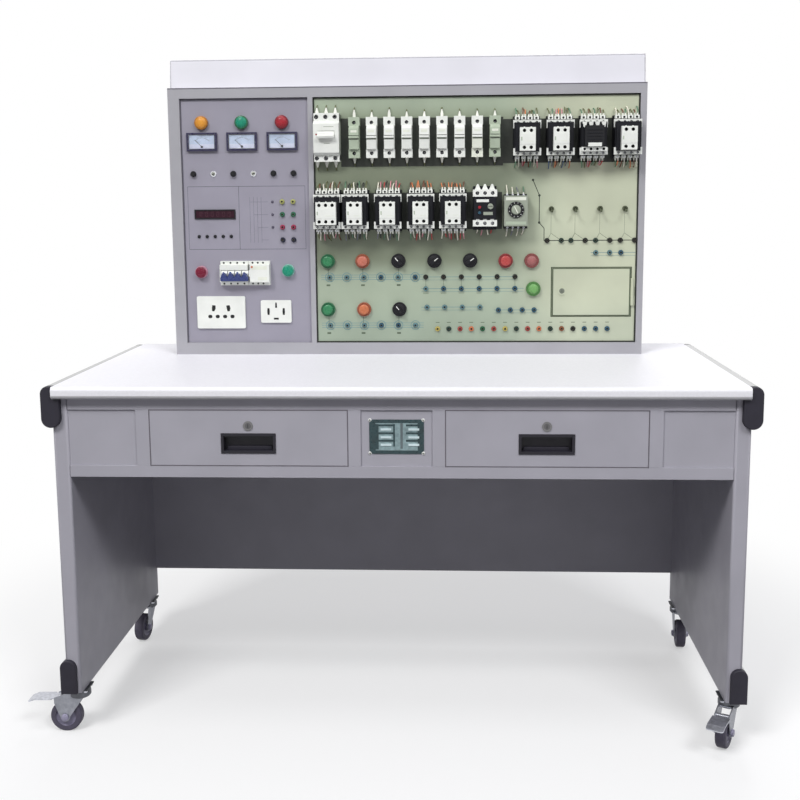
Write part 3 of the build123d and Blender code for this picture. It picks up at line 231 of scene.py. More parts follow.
rubber = finish("wheel_rubber", (76, 72, 88), 0.62, mottle=0.08, mottle_size=70, grain=600, bump=0.25)
hub_plastic = finish("wheel_hub", (128, 124, 146), 0.45, mottle=0.05, mottle_size=60, grain=700, bump=0.10)
cap_lilac = finish("axle_cap", (158, 154, 178), 0.42, mottle=0.05, grain=700, bump=0.06)
cap_plastic = finish("cap_plastic", (40, 38, 48), 0.52, mottle=0.06, grain=1300, bump=0.25,
                     specular_ior_level=0.3)
MOULDED = {"grain": 1200, "bump": 0.16}
pull_plastic = finish("pull_plastic", (34, 32, 40), 0.42, mottle=0.08, specular_ior_level=0.3, **MOULDED)
black_plastic = finish("black_plastic", (22, 22, 26), 0.45, mottle=0.10, specular_ior_level=0.25, **MOULDED)
dark_plastic = finish("contactor_black", (17, 18, 24), 0.5, mottle=0.12, grain=1000, bump=0.16,
                      specular_ior_level=0.2)
white_plastic = finish("white_plastic", (232, 234, 229), 0.36, mottle=0.015)
pale_plastic = finish("pale_plastic", (226, 229, 216), 0.42, mottle=0.025, bump=0.06)
sage_plastic = finish("sage_plastic", (172, 184, 164), 0.44, bump=0.06)
relay_plastic = finish("relay_grey", (150, 157, 143), 0.42, bump=0.08)
meter_plastic = finish("meter_navy", (38, 34, 66), 0.30, mottle=0.05)
# Near-black painted shade inside wells, holes, slots, grooves and screw recesses.
painted_hole_shade = finish("hole_painted_shade", (14, 14, 16), 0.8, mottle=0.2, grain=500)
dial_face = finish("meter_dial", (206, 216, 240), 0.55, mottle=0.015, bump=0.02)
# A lighter copy of the dial colour: painted light on the lower part of each dial.
dial_painted_light = finish("meter_dial_painted_light", (228, 228, 248), 0.55, mottle=0.015, bump=0.02)
display_red = finish("display_window", (48, 16, 32), 0.3, mottle=0.06, grain=500, bump=0.01,
                     specular_ior_level=0.2)
segment_red = finish("display_segment", (66, 22, 38), 0.3, mottle=0.05, grain=500, bump=0.01)
clear = finish("clear_window", (246, 249, 250), 0.05, mottle=0.0, rough_spread=0.01, grain=200, bump=0.0,
               transmission_weight=1.0, ior=1.46)
plate_teal = finish("plate_teal", (34, 58, 62), 0.30, mottle=0.15, grain=500, mottle_size=90)
plate_bright = finish("plate_bright", (214, 232, 236), 0.3, mottle=0.04, grain=500, bump=0.04)
plate_grey = finish("plate_grey", (96, 108, 112), 0.4, mottle=0.06, grain=500, bump=0.04)
plate_pale = finish("plate_pale", (136, 158, 162), 0.34, mottle=0.12, grain=500, mottle_size=120)

ink = printed("printed_ink", (74, 78, 86))
board_ink = printed("board_ink", (84, 96, 78))
dark_ink = printed("dark_ink", (34, 42, 34))
door_line = printed("door_line", (78, 88, 68))
blue_ink = printed("blue_ink", (96, 134, 142))

COLOURS = {
    "yellow": (178, 162, 88), "green": (34, 92, 62), "teal": (26, 136, 108), "pale_teal": (128, 190, 174),
    "leaf": (52, 124, 82), "dark_leaf": (44, 100, 68), "fern": (116, 168, 100), "dark_fern": (72, 118, 62),
    "forest": (38, 98, 70), "red": (160, 38, 50), "brick": (152, 62, 58), "mauve": (150, 50, 80),
    "dusty_red": (160, 100, 98), "dark_dusty_red": (122, 66, 64), "dark_red": (124, 34, 46),
    "wine": (122, 22, 48), "dark_wine": (112, 18, 46), "pink": (196, 138, 158), "rose": (178, 72, 70),
    "dark_rose": (136, 54, 56), "salmon": (188, 110, 92), "orange": (192, 112, 76),
    "dark_orange": (150, 86, 64), "amber": (218, 150, 56), "dark_amber": (172, 112, 38),
    "blue": (44, 82, 102), "steel_blue": (92, 124, 130), "ink_blue": (28, 32, 52), "navy": (58, 70, 126),
    "bottle": (26, 52, 46), "brown": (130, 76, 46), "lime": (166, 168, 104),
}
paints = {name: gloss(f"{name}_plastic", colour) for name, colour in COLOURS.items()}
paints["black"] = gloss("black_gloss", (14, 16, 18))
WIRE_COLOURS = {
    "brown": (112, 72, 54), "olive": (96, 100, 62), "black": (34, 34, 38), "orange": (212, 128, 84),
    "red": (176, 66, 66), "pink": (204, 140, 150), "blue": (72, 96, 128), "green": (88, 126, 100),
    "grey": (120, 122, 132),
}
wires = {name: finish(f"wire_{name}", colour, 0.5, mottle=0.06) for name, colour in WIRE_COLOURS.items()}
wires["cream"] = finish("wire_cream", (234, 230, 214), 0.5, mottle=0.04)
crimp_white = finish("crimp_white", (236, 236, 228), 0.45, bump=0.04)


# Placing: local u runs right, v up and h out of the panel towards the user

FACING = Matrix(((1, 0, 0, 0), (0, 0, -1, 0), (0, 1, 0, 0), (0, 0, 0, 1)))
SIDE_ON = Matrix(((0, 0, 1, 0), (1, 0, 0, 0), (0, 1, 0, 0), (0, 0, 0, 1)))


def shift(u, v, h=0.0):
    return Matrix.Translation((u, v, h))


def spin(degrees, axis="Z"):
    return Matrix.Rotation(math.radians(degrees), 4, axis)


def on_panel(x, z, y=PANEL_Y):
    return shift(x, y, z) @ FACING


def span(centre, half):
    return (centre - half, centre + half)


def belt(low, high, count):
    """Faces between two rings of points, given the number of each ring's first point."""
    return [(low + i, low + (i + 1) % count, high + (i + 1) % count, high + i) for i in range(count)]


def circle(sides):
    return [math.radians(360.0 * step / sides) for step in range(sides)]


# Forms: every piece is gathered from these, in millimetres, and becomes one mesh

BOX_FACES = ((0, 1, 3, 2), (4, 6, 7, 5), (0, 4, 5, 1), (2, 3, 7, 6), (0, 2, 6, 4), (1, 5, 7, 3))
WELD_DISTANCE = 0.000002
SHARP_ANGLE = 34
BEVEL_ANGLE = 50
WELL_SIDES = 16
WELL_TURN = 0.001
POINTED = 0.01
LEVEL = 1e-9
NEVER = 1e9


def bevel_edges(item, width, harden):
    edge = item.modifiers.new("edges", "BEVEL")
    edge.width = width * MM
    edge.segments = 2
    edge.limit_method = "ANGLE"
    edge.angle_limit = math.radians(BEVEL_ANGLE)
    edge.harden_normals = harden


class Form:
    """Gathers points and faces with a material each."""

    def __init__(self):
        self.points = []
        self.faces = []
        self.paint = []
        self.materials = []

    def add(self, points, faces, material, at):
        base = len(self.points)
        self.points += [at @ Vector(point) for point in points]
        if material not in self.materials:
            self.materials.append(material)
        self.faces += [[base + corner for corner in face] for face in faces]
        self.paint += [self.materials.index(material)] * len(faces)

    def block(self, u, v, h, material, at):
        self.add([(a, b, c) for a in u for b in v for c in h], BOX_FACES, material, at)

    def blocks(self, material, at, *boxes):
        """Several blocks, each given by its reach in u, v and h."""
        for u, v, h in boxes:
            self.block(u, v, h, material, at)

    def border(self, u, v, side, end, h, material, at):
        """A flat frame inside u and v, with upright strips and level strips between them."""
        for reach in ((u[0], u[0] + side), (u[1] - side, u[1])):
            self.block(reach, v, h, material, at)
        for reach in ((v[0], v[0] + end), (v[1] - end, v[1])):
            self.block((u[0] + side, u[1] - side), reach, h, material, at)

    def prism(self, outline, h, material, at):
        """A flat outline in u and v, pushed out from h[0] to h[1]."""
        count = len(outline)
        points = [(u, v, level) for level in h for u, v in outline]
        ends = [tuple(reversed(range(count))), tuple(range(count, 2 * count))]
        self.add(points, ends + belt(0, count, count), material, at)

    def turned(self, profile, material, at, sides=28, closed=False):
        """A profile of (h, radius) pairs turned round local h, into a ring if it is closed."""
        points = [(r * math.cos(a), r * math.sin(a), h) for h, r in profile for a in circle(sides)]
        count = len(profile)
        faces = []
        for row in range(count if closed else count - 1):
            faces += belt(row * sides, (row + 1) % count * sides, sides)
        if not closed and profile[0][1] > POINTED:
            faces.append(tuple(reversed(range(sides))))
        if not closed and profile[-1][1] > POINTED:
            faces.append(tuple(range((count - 1) * sides, count * sides)))
        self.add(points, faces, material, at)

    def ring(self, profile, material, at, sides=28):
        self.turned(profile, material, at, sides, closed=True)

    def welled(self, u, v, h, columns, rows, radius, depth, material, at):
        """A block with round wells sunk in its front, one at each column and row, their insides dark with
        painted shade.
        """
        self.add([(a, b, c) for a in u for b in v for c in h], BOX_FACES[:5], material, at)
        u_edges = [u[0]] + [(a + b) / 2 for a, b in zip(columns, columns[1:])] + [u[1]]
        v_edges = [v[0]] + [(a + b) / 2 for a, b in zip(rows, rows[1:])] + [v[1]]
        for i, centre_u in enumerate(columns):
            for j, centre_v in enumerate(rows):
                cell = (u_edges[i:i + 2], v_edges[j:j + 2])
                self.well(*cell, (centre_u, centre_v), radius, h[1], depth, material, at)

    def well(self, u, v, centre, radius, top, depth, material, at):
        """One cell of a front face with a round well in it, its wall and floor dark with painted shade."""
        corners = {math.atan2(b - centre[1], a - centre[0]) for a in u for b in v}
        round_it = {math.pi * (2 * step / WELL_SIDES - 1) + WELL_TURN for step in range(WELL_SIDES)}
        rim, edge, floor = [], [], []
        for angle in sorted(corners | round_it):
            du, dv = math.cos(angle), math.sin(angle)
            reach_u = ((u[1] if du > 0 else u[0]) - centre[0]) / du if abs(du) > LEVEL else NEVER
            reach_v = ((v[1] if dv > 0 else v[0]) - centre[1]) / dv if abs(dv) > LEVEL else NEVER
            reach = min(reach_u, reach_v)
            edge.append((centre[0] + du * reach, centre[1] + dv * reach, top))
            rim.append((centre[0] + du * radius, centre[1] + dv * radius, top))
            floor.append((centre[0] + du * radius, centre[1] + dv * radius, top - depth))
        count = len(rim)
        self.add(edge + rim, belt(0, count, count), material, at)
        self.add(rim + floor, belt(0, count, count) + [tuple(range(count, 2 * count))], painted_hole_shade, at)

    def tube(self, path, radius, material, at, sides=8):
        """A round rod along a path of points, closed at both ends."""
        path = [Vector(point) for point in path]
        points, faces = [], []
        side = None
        for index, point in enumerate(path):
            ahead = path[min(index + 1, len(path) - 1)] - path[max(index - 1, 0)]
            ahead.normalize()
            if side is None:
                side = ahead.orthogonal().normalized()
            side = (side - ahead * side.dot(ahead)).normalized()
            other = ahead.cross(side)
            points += [point + radius * (math.cos(a) * side + math.sin(a) * other) for a in circle(sides)]
        for index in range(len(path) - 1):
            faces += belt(index * sides, (index + 1) * sides, sides)
        faces.append(tuple(reversed(range(sides))))
        faces.append(tuple(range(len(points) - sides, len(points))))
        self.add(points, faces, material, at)

    def build(self, name, body="bench", replaces=(), bevel=0.0):
        """Makes the mesh, in metres, and hangs it on its body."""
        mesh = bpy.data.meshes.new(name)
        mesh.from_pydata([point * MM for point in self.points], [], self.faces)
        for material in self.materials:
            mesh.materials.append(material)
        mesh.polygons.foreach_set("material_index", self.paint)
        work = bmesh.new()
        work.from_mesh(mesh)
        bmesh.ops.remove_doubles(work, verts=work.verts, dist=WELD_DISTANCE)
        bmesh.ops.recalc_face_normals(work, faces=work.faces)
        work.to_mesh(mesh)
        work.free()
        mesh.shade_smooth()
        mesh.set_sharp_from_angle(angle=math.radians(SHARP_ANGLE))
        piece = bpy.data.objects.new(name, mesh)
        bpy.context.scene.collection.objects.link(piece)
        if bevel:
            bevel_edges(piece, bevel, False)
        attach(piece, body)
        if replaces:
            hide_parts(*replaces)


def screw(form, u, v, h, radius, at, material=zinc, turn=None):
    """A pan head with a cross recess drawn as a dark cross of painted shade, turned at random where no turn
    is given.
    """
    if turn is None:
        turn = random.uniform(0, 90)
    spot = at @ shift(u, v, h) @ spin(turn)
    head = [(0, radius), (radius * 0.35, radius * 0.92), (radius * 0.55, radius * 0.6)]
    form.turned(head, material, spot, 16)
    arm, half = radius * 0.62, radius * 0.13
    top = (radius * 0.5, radius * 0.58)
    form.blocks(painted_hole_shade, spot, ((-arm, arm), (-half, half), top), ((-half, half), (-arm, arm), top))


# Finishes of the CAD nodes

PULL_HALF = (62.5, 23.5)
PULL_BACK_Y = -327.5
FRONT_SLACK = 0.05
LOCK_RING = (11.2, -323)
HUB_REACH = (26.5, 27)
NOSE_BELOW = (-364, 822)
BUSHES_FROM = (340, 1150)


def paint_node(name, material, *parts):
    """Gives a CAD node its material, and others to faces that a test picks by place, in millimetres."""
    mesh = nodes[name].data
    mesh.materials.clear()
    mesh.materials.append(material)
    for other, _ in parts:
        mesh.materials.append(other)
    for face in mesh.polygons:
        face.material_index = 0
        place = face.center / MM
        for index, (_, test) in enumerate(parts, 1):
            if test(*place):
                face.material_index = index


def soften(name, width):
    """Rounds a CAD node's sharp edges a little, so that they catch the light."""
    weld = nodes[name].modifiers.new("weld", "WELD")
    weld.merge_threshold = 0.00001
    bevel_edges(nodes[name], width, True)


def drawer_parts(side):
    """Picks the moulded pull and the lock's ring out of a drawer's faces."""
    centre = side * DRAWER_X

    def is_pull(x, y, z):
        near = abs(x - centre) < PULL_HALF[0] and abs(z - PULL_Z) < PULL_HALF[1]
        return near and y < PULL_BACK_Y and abs(y - APRON_Y) >= FRONT_SLACK

    def is_ring(x, y, z):
        return math.hypot(x - centre, z - LOCK_Z) < LOCK_RING[0] and y < LOCK_RING[1]

    return ((pull_plastic, is_pull), (lock_ring, is_ring))


def wheel_part(name):
    """Picks the hub's faces out of a wheel."""
    low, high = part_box(name)
    centre = [(a + b) / 2 / MM for a, b in zip(low, high)]

    def is_hub(x, y, z):
        reach, across = math.dist((x, y, z), centre), math.hypot(x - centre[0], y - centre[1])
        return reach < HUB_REACH[0] and across < HUB_REACH[1]

    return (hub_plastic, is_hub)


def finish_cad_nodes():
    """Gives every CAD node its material and softens the large sheets."""
    plain = (
        (aluminium, "side_rails"), (cap_plastic, "rail_end_caps"),
        (grey_paint, "leg_left leg_right modesty_panel apron"),
        (zinc, "drawer_runners brake_pedal_front_left brake_pedal_front_right"),
        (lock_plug, "drawer_lock_left drawer_lock_right"), (plate_steel, "caster_mounts"),
        (cabinet_paint, "cabinet_shell cabinet_frame"), (white_paint, "cabinet_header"),
        (panel_paint, "control_panel"), (board_paint, "mounting_board fault_box fault_door"),
        (lock_grey, "fault_door_lock"), (white_plastic, "main_breaker_lever power_outlets"),
        (meter_plastic, "meter_cases"), (paints["wine"], "stop_button"), (paints["teal"], "start_button"),
        (paints["leaf"], "green_button_upper green_button_lower"), (paints["salmon"], "orange_button_upper"),
        (paints["orange"], "orange_button_lower"), (paints["rose"], "red_button"),
        (nickel, "toggle_1 toggle_2 toggle_3 toggle_4"),
        (black_plastic, "selector_1 selector_2 selector_3 selector_4"),
        (black_plastic, "meter_needle_1 meter_needle_2 meter_needle_3"),
    )
    for material, names in plain:
        for name in names.split():
            paint_node(name, material)
    paint_node("worktop", laminate, (nose, lambda x, y, z: y < NOSE_BELOW[0] and z < NOSE_BELOW[1]))
    bushes = (nickel, lambda x, y, z: x > BUSHES_FROM[0] and z > BUSHES_FROM[1])
    paint_node("fitting_sleeves", black_plastic, bushes)
    paint_node("drawer_left", grey_paint, *drawer_parts(-1))
    paint_node("drawer_right", grey_paint, *drawer_parts(1))
    for name in CASTERS:
        paint_node(f"caster_fork_{name}", fork_steel)
        paint_node(f"caster_wheel_{name}", rubber, wheel_part(f"caster_wheel_{name}"))
    for name in ("cabinet_frame", "cabinet_header", "cabinet_shell", "apron", "leg_left", "leg_right"):
        soften(name, 0.5)


# Switchgear on the mounting board

UPPER_ROW_Z = 1405.0
LOWER_ROW_Z = 1222.0
RELAY_Z = 1225.0
WIRE_STEPS = 7
LEADS = (-27, -20, -10, -4, 5, 11, 20, 27)


def wire_ends(form, at, columns, start_v, start_h, colours, down=False):
    """Short leads with white crimped ends, from terminals into the board."""
    way = -1 if down else 1
    for index, u in enumerate(columns):
        lean = random.uniform(-4.0, 4.0)
        rise = random.uniform(15.0, 24.0)
        crimp = [(u, start_v - way * 4, start_h), (u + lean * 0.1, start_v + way * 6, start_h + 0.5)]
        form.tube(crimp, 2.1 if index % 2 else 1.8, crimp_white, at)
        path = []
        for step in range(WIRE_STEPS + 1):
            share = step / WIRE_STEPS
            bend = math.sin(share * math.pi / 2)
            out = (start_h + 0.5) * math.cos(share * math.pi / 2) + 0.3
            path.append((u + lean * bend, start_v + way * (5 + (rise - 5) * bend), out))
        form.tube(path, 1.5, wires[colours[index % len(colours)]], at)


def strip(form, at, half, v, h, columns, middle, radius, depth, head):
    """A terminal strip with a screw sunk in each well; head is the screws' height and radius."""
    form.welled((-half, half), v, h, columns, [middle], radius, depth, white_plastic, at)
    for u in columns:
        screw(form, u, middle, *head, at)


def contactor(form, x, z, face, above, below):
    """Base, arc chamber with ribs, terminal strips with screws, front block and leads."""
    at = on_panel(x, z)
    form.blocks(dark_plastic, at, ((-34, 34), (-56, 52), (0, 16)), ((-33, 33), (-47, 43), (16, 34)),
                ((-33, 33), (-40, 34), (34, 54)), ((-30, 30), (-38, 28), (54, 61)))
    for step in range(7):
        for v in (-39.6, 33.6):
            form.block(span(-30 + step * 10.0, 1.2), span(v, 1.4), (34, 53), dark_plastic, at)
    columns = [-24, -8, 8, 24]
    for low, high, front_h, low_lug, high_lug in ((28, 40.5, 48, 20, 40.5), (-48, -39, 56, -48, -30)):
        middle = (low + high) / 2
        strip(form, at, 31.5, (low, high), (34, front_h), columns, middle, 3.2, 5, (front_h - 4.8, 2.6))
        for u in (-33.0, 33.0):
            form.block(span(u, 2.3), (low_lug, high_lug), (front_h - 7, front_h + 1), white_plastic, at)
    for u in columns:
        lugs = ((span(u, 6.4), (42, 51.5), (16, 34)), (span(u, 5.4), (-56, -50), (16, 40)))
        form.blocks(white_plastic, at, *lugs)
        # A dark disc of painted shade for the hole in the top of each lug.
        form.turned([(34, 3.0), (34.4, 3.0)], painted_hole_shade, at @ shift(u, 46.5), 14)
        screw(form, u, -53, 39.9, 2.2, at)
    if face == "dark":
        dark_front(form, at, columns)
    else:
        pale_front(form, at, face == "wide")
    wire_ends(form, at, LEADS, 51, 22, above)
    wire_ends(form, at, LEADS, -56, 20, below, down=True)


def dark_front(form, at, columns):
    form.block((-24, 24), (-26, 24), (61, 74), black_plastic, at)
    for v in (-12, -4, 4, 12):
        form.block((-20, 20), (v, v + 2.4), (74, 75.4), dark_plastic, at)
    form.block((-16, 18), (-28, -19), (61, 76), white_plastic, at)
    form.welled((-31, 31), (-39, -29), (54, 66), columns, [-34], 3.4, 6, white_plastic, at)
    for u in columns:
        form.prism([(u - 6, 34), (u + 6, 34), (u + 2.6, 20), (u - 2.6, 20)], (54, 64), white_plastic, at)


def pale_front(form, at, wide):
    half = 26 if wide else 19.8
    wells = [-17, 0, 17] if wide else [-8.6, 8.6]
    for v, middle in (((5, 21), 13), ((-37, -21), -29)):
        form.welled((-half, half), v, (61, 78), wells, [middle], 4.3, 9, white_plastic, at)
    form.block((-half, half), (-21, 5), (61, 79), white_plastic, at)
    form.block((-half + 3, -half + 6), (-12, -3), (79, 79.3), sage_plastic, at)
    form.block((-1, half - 6), (-14.5, -13.3), (79, 79.3), pale_plastic, at)
    for u in wells:
        form.block(span(u, 1.5), (20.6, 22.6), (64, 74), white_plastic, at)


def thermal_relay(form, x, z):
    """An overload relay with a white terminal block at each end."""
    at = on_panel(x, z)
    form.blocks(dark_plastic, at, ((-30, 30), (-56, 56), (0, 24)), ((-28, 28), (-28, 30), (24, 52)))
    form.welled((-31, 31), (29, 47), (24, 54), [-19.5, 0, 19.5], [38], 4.6, 7, white_plastic, at)
    for u in (-18.5, 0, 18.5):
        screw(form, u, 38, 47.4, 3.4, at)
        form.prism([(u - 7.5, 47), (u + 7.5, 47), (u + 1.8, 61), (u - 1.8, 61)], (24, 44), white_plastic, at)
    form.block((-22, 10), (15, 22), (52, 54), white_plastic, at)
    form.turned([(52, 7.5), (55, 7.0), (55, 2)], relay_plastic, at @ shift(14, 4), 20)
    # A dark slot of painted shade across the dial knob.
    form.block((8.5, 19.5), (3.4, 4.6), (54.9, 55.4), painted_hole_shade, at)
    for v, colour in ((2, "red"), (-12, "blue")):
        form.turned([(52, 4), (56, 3.6)], paints[colour], at @ shift(-14, v), 16)
    form.block((-4, 20), (-18, -10), (52, 52.6), relay_plastic, at)
    form.welled((-31, 31), (-47, -31), (20, 50), [-19.5, 0, 19.5], [-39], 4.4, 5, white_plastic, at)
    for u in (-18.5, 0, 18.5):
        screw(form, u, -39, 45.2, 3.2, at)
        form.prism([(u - 5, -31), (u + 5, -31), (u + 3, -24), (u - 3, -24)], (40, 50), white_plastic, at)
    wire_ends(form, at, (-18, -6, 6, 18), -48, 16, ("cream", "pink", "cream", "red"), down=True)


def time_relay(form, x, z):
    """A plug-in timer with its dial, in a black base."""
    at = on_panel(x, z)
    form.block((-30, 30), (-44, 44), (0, 16), black_plastic, at)
    shell = [(-29, -38), (29, -38), (30, -37), (30, 39), (29, 40), (-29, 40), (-30, 39), (-30, -37)]
    form.prism(shell, (16, 51), relay_plastic, at)
    form.block((-26, 26), (28, 36), (51, 51.5), pale_plastic, at)
    form.block((-26, 26), (-34, -26), (51, 51.5), sage_plastic, at)
    dial = at @ shift(0, 4)
    form.ring([(51, 21), (54.6, 20.4), (54.6, 13.5), (51, 13)], black_plastic, dial, 40)
    form.turned([(51, 12.4), (55.4, 12.0), (56, 11.0)], relay_plastic, dial, 32)
    for step in range(12):
        form.block((-0.45, 0.45), (16.2, 19.4), (54.5, 54.9), white_plastic, dial @ spin(30 * step + 15))
    form.block((-1.2, 1.2), (-9.5, 9.5), (55.8, 56.8), pale_plastic, dial @ spin(28))
    form.block((-30.5, 30.5), (-44.5, -38.5), (4, 30), black_plastic, at)
    leads = (-21, -7, 7, 21)
    for u in leads:
        for v, h in ((41.5, 15.9), (-41.5, 29.9)):
            screw(form, u, v, h, 2.7, at)
    wire_ends(form, at, leads, 43, 10, ("cream", "cream", "grey", "green"))
    wire_ends(form, at, leads, -45, 10, ("cream", "grey", "cream", "cream"), down=True)


# Each row: x, front, and the colours of the leads above and below
UPPER_CONTACTORS = (
    (313, "white", "green olive brown orange brown olive", "green cream pink red brown"),
    (397.3, "white", "olive green pink orange pink olive", "blue grey orange brown cream"),
    (480.6, "dark", "green olive brown olive", "green olive pink red"),
    (566.9, "white", "cream olive brown green", "green orange brown cream"),
)
LOWER_CONTACTORS = (
    (-202, "wide", "olive brown cream", "olive cream pink brown"),
    (-129, "white", "green black olive cream black", "grey black green cream"),
    (-44, "white", "cream pink red black pink", "grey black green cream"),
    (41, "white", "brown orange orange orange brown", "green cream red cream pink"),
    (124, "white", "orange brown orange", "cream red pink red brown"),
)


def switchgear():
    """Nine contactors in two rows, the thermal relay and the time relay."""
    form = Form()
    for z, row in ((UPPER_ROW_Z, UPPER_CONTACTORS), (LOWER_ROW_Z, LOWER_CONTACTORS)):
        for x, front, above, below in row:
            contactor(form, x, z, front, above.split(), below.split())
    thermal_relay(form, 206.5, RELAY_Z)
    time_relay(form, 286, 1216)
    form.build("switchgear", replaces=("contactors_and_relays",), bevel=0.45)


FUSE_X = -131.0
FUSE_PITCH = 45.4
FUSE_Z = 1407.5
# Each holder from the left: upper shell, lower shell and how much its tip is raised
FUSES = (
    (sage_plastic, sage_plastic, 6), (white_plastic, white_plastic, 0), (white_plastic, white_plastic, 6),
    (white_plastic, white_plastic, 0), (white_plastic, white_plastic, 0), (white_plastic, white_plastic, 5),
    (white_plastic, white_plastic, 0), (white_plastic, pale_plastic, 0), (sage_plastic, sage_plastic, 0),
)


def fuse_holder(form, x, shell, lower, lift):
    """A fuse base whose ribbed carrier slopes away below its two grooves."""
    at = on_panel(x, FUSE_Z)
    side_on = at @ SIDE_ON
    form.block((-13.4, 13.4), (-30, 30), (0, 24), lower, at)
    form.welled((-14.5, 14.5), (30, 52), (0, 27), [0], [38], 4.6, 9, shell, at)
    form.welled((-14.5, 14.5), (-52, -30), (0, 27), [0], [-40], 4.6, 9, lower, at)
    for v in (38, -40):
        screw(form, 0, v, 18.4, 3.4, at)
    form.prism([(5, 24), (29.8, 24), (29.8, 30), (22, 40), (5, 41.5)], (-12.6, 12.6), shell, side_on)
    form.prism([(-2, 24), (3.4, 24), (3.4, 42.5), (-2, 42.5)], (-12.9, 12.9), shell, side_on)
    # The upper groove is a dark band of painted shade.
    form.block((-12.2, 12.2), (3.2, 5.2), (24, 34), painted_hole_shade, at)
    form.block((-12.2, 12.2), (-6.4, -1.8), (24, 36), relay_plastic, at)
    form.prism([(-29.8, 24), (-6, 24), (-6, 38), (-29.8, 34.5)], (-12.6, 12.6), lower, side_on)
    form.block((-8, 8), (12, 18), (39.9, 41.2), pale_plastic, at)
    for way, raised in ((-1, 0), (1, lift)):
        base = at @ shift(0, way * (52 + raised), 13) @ spin(-90 * way, "X")
        form.turned([(-2 - raised, 4.4), (3, 4.0), (13, 1.4), (14, 0)], crimp_white, base, 16)
    for way, raised in ((1, lift), (-1, 0)):
        lead = [(0, way * (v + raised), h) for v, h in ((64, 13), (69, 9), (71, 2))]
        form.tube(lead, 1.4, wires["olive"], at)


def fuse_row():
    """Nine fuse holders side by side."""
    form = Form()
    for index, (shell, lower, lift) in enumerate(FUSES):
        fuse_holder(form, FUSE_X + index * FUSE_PITCH, shell, lower, lift)
    form.build("fuse_row", replaces=("fuse_holders",), bevel=0.4)


def main_breaker(form):
    """The three-pole breaker at the board's upper left."""
    at = on_panel(-202, 1416.5)
    poles = [-26, -2, 22]
    form.block((-33, 33), (-66, 52), (0, 20), white_plastic, at)
    for v, middle in (((33, 54), 44), ((-69.5, -52), -61)):
        strip(form, at, 33, v, (0, 30), poles, middle, 5.6, 11, (19.2, 3.6))
    for u in poles:
        for way, start in ((1, 54), (-1, -69.5)):
            base = at @ shift(u, start, 12) @ spin(-90 * way, "X")
            form.turned([(-2, 5.4), (3, 4.8), (14, 1.6), (15, 0)], crimp_white, base, 16)
            lead = [(u, start + way * v, h) for v, h in ((12, 12), (18, 9), (21, 2))]
            form.tube(lead, 1.6, wires["olive"], at)
    side_on = at @ SIDE_ON
    form.prism([(8.4, 20), (33, 20), (33, 34), (26, 44), (8.4, 44)], (-33, 33), white_plastic, side_on)
    form.prism([(-52, 20), (-8.4, 20), (-8.4, 44), (-47, 42), (-52, 36)], (-33, 33), white_plastic, side_on)
    form.blocks(white_plastic, at, ((-33, -22.4), (-8.4, 8.4), (20, 44)), ((22.4, 33), (-8.4, 8.4), (20, 44)),
                ((-22.4, 22.4), (-8.4, 8.4), (20, 26)))
    for u in (-11, 11):
        form.block(span(u, 0.3), (10, 25), (43, 44.15), pale_plastic, at)
    form.block((-27, -23), (-3, 1), (44, 44.5), paints["dark_rose"], at)
    form.blocks(relay_plastic, at, ((-6, 20), (18, 19.2), (44, 44.3)), ((-6, 10), (-24, -22.8), (44, 44.3)))


def residual_breaker(form):
    """The residual current breaker on the control panel, open round its toggles."""
    at = on_panel(-427, 1058)
    for way in (-1, 1):
        v = tuple(sorted((way * 23, way * 32)))
        for u, wells in (((-66, 8), [-57, -39, -21, -3]), ((9, 66), [20, 34, 48])):
            form.welled(u, v, (0, 12), wells, [way * 27.5], 2.6, 4, white_plastic, at)
    form.blocks(white_plastic, at, ((-66, 8), (8.4, 23), (0, 24)), ((-66, 8), (-23, -8.4), (0, 24)),
                ((-66, -63.4), (-8.4, 8.4), (0, 24)), ((11.4, 14), (-8.4, 8.4), (0, 24)))
    form.block((-63.4, 11.4), (-8.4, 8.4), (0, 9), relay_plastic, at)
    form.block((14, 66), (-23, 23), (0, 24), white_plastic, at)
    for u in (-48, -30, -12):
        form.block(span(u, 0.3), (9, 23.2), (12, 24.2), pale_plastic, at)
    form.block((20, 60), (10, 19), (24, 24.4), pale_plastic, at)
    form.turned([(24, 3.0), (26, 2.6)], paints["orange"], at @ shift(20, 17), 18)
    form.block((36, 60), (-18, -10), (24, 24.4), pale_plastic, at)


def breakers():
    """Both breakers, as one piece."""
    form = Form()
    main_breaker(form)
    residual_breaker(form)
    form.build("breaker_cases", replaces=("circuit_breakers",), bevel=0.4)


TOGGLE_COUNT = 4
TOGGLE_REST_TURN = 25


def residual_lever():
    """Four toggles joined by one grip, which swing on the breaker's lever pin."""
    form = Form()
    pivot = shift(-453, PANEL_Y - 19, 1058) @ spin(TOGGLE_REST_TURN, "X") @ FACING
    columns = [-27.8 + index * 18.5 for index in range(TOGGLE_COUNT)]
    teeth = [(-37, -13), (37, -13), (37, -4)]
    for u in reversed(columns):
        teeth += [(u + 8.4, -3), (u + 2.0, 11), (u - 2.0, 11), (u - 8.4, -3)]
    teeth.append((-37, -4))
    form.prism(teeth, (12.5, 20), paints["navy"], pivot)
    for u in columns:
        form.turned([(-8.2, 7.9), (8.2, 7.9)], white_plastic, pivot @ shift(u, 0) @ spin(90, "Y"), 28)
        form.block(span(u, 6), (-3, 3), (4, 12.6), paints["navy"], pivot)
    form.build("residual_toggles", "residual_breaker_lever", ("residual_breaker_lever",), 0.5)


# Sockets: first x, pitch, z, and the colour of each from the left

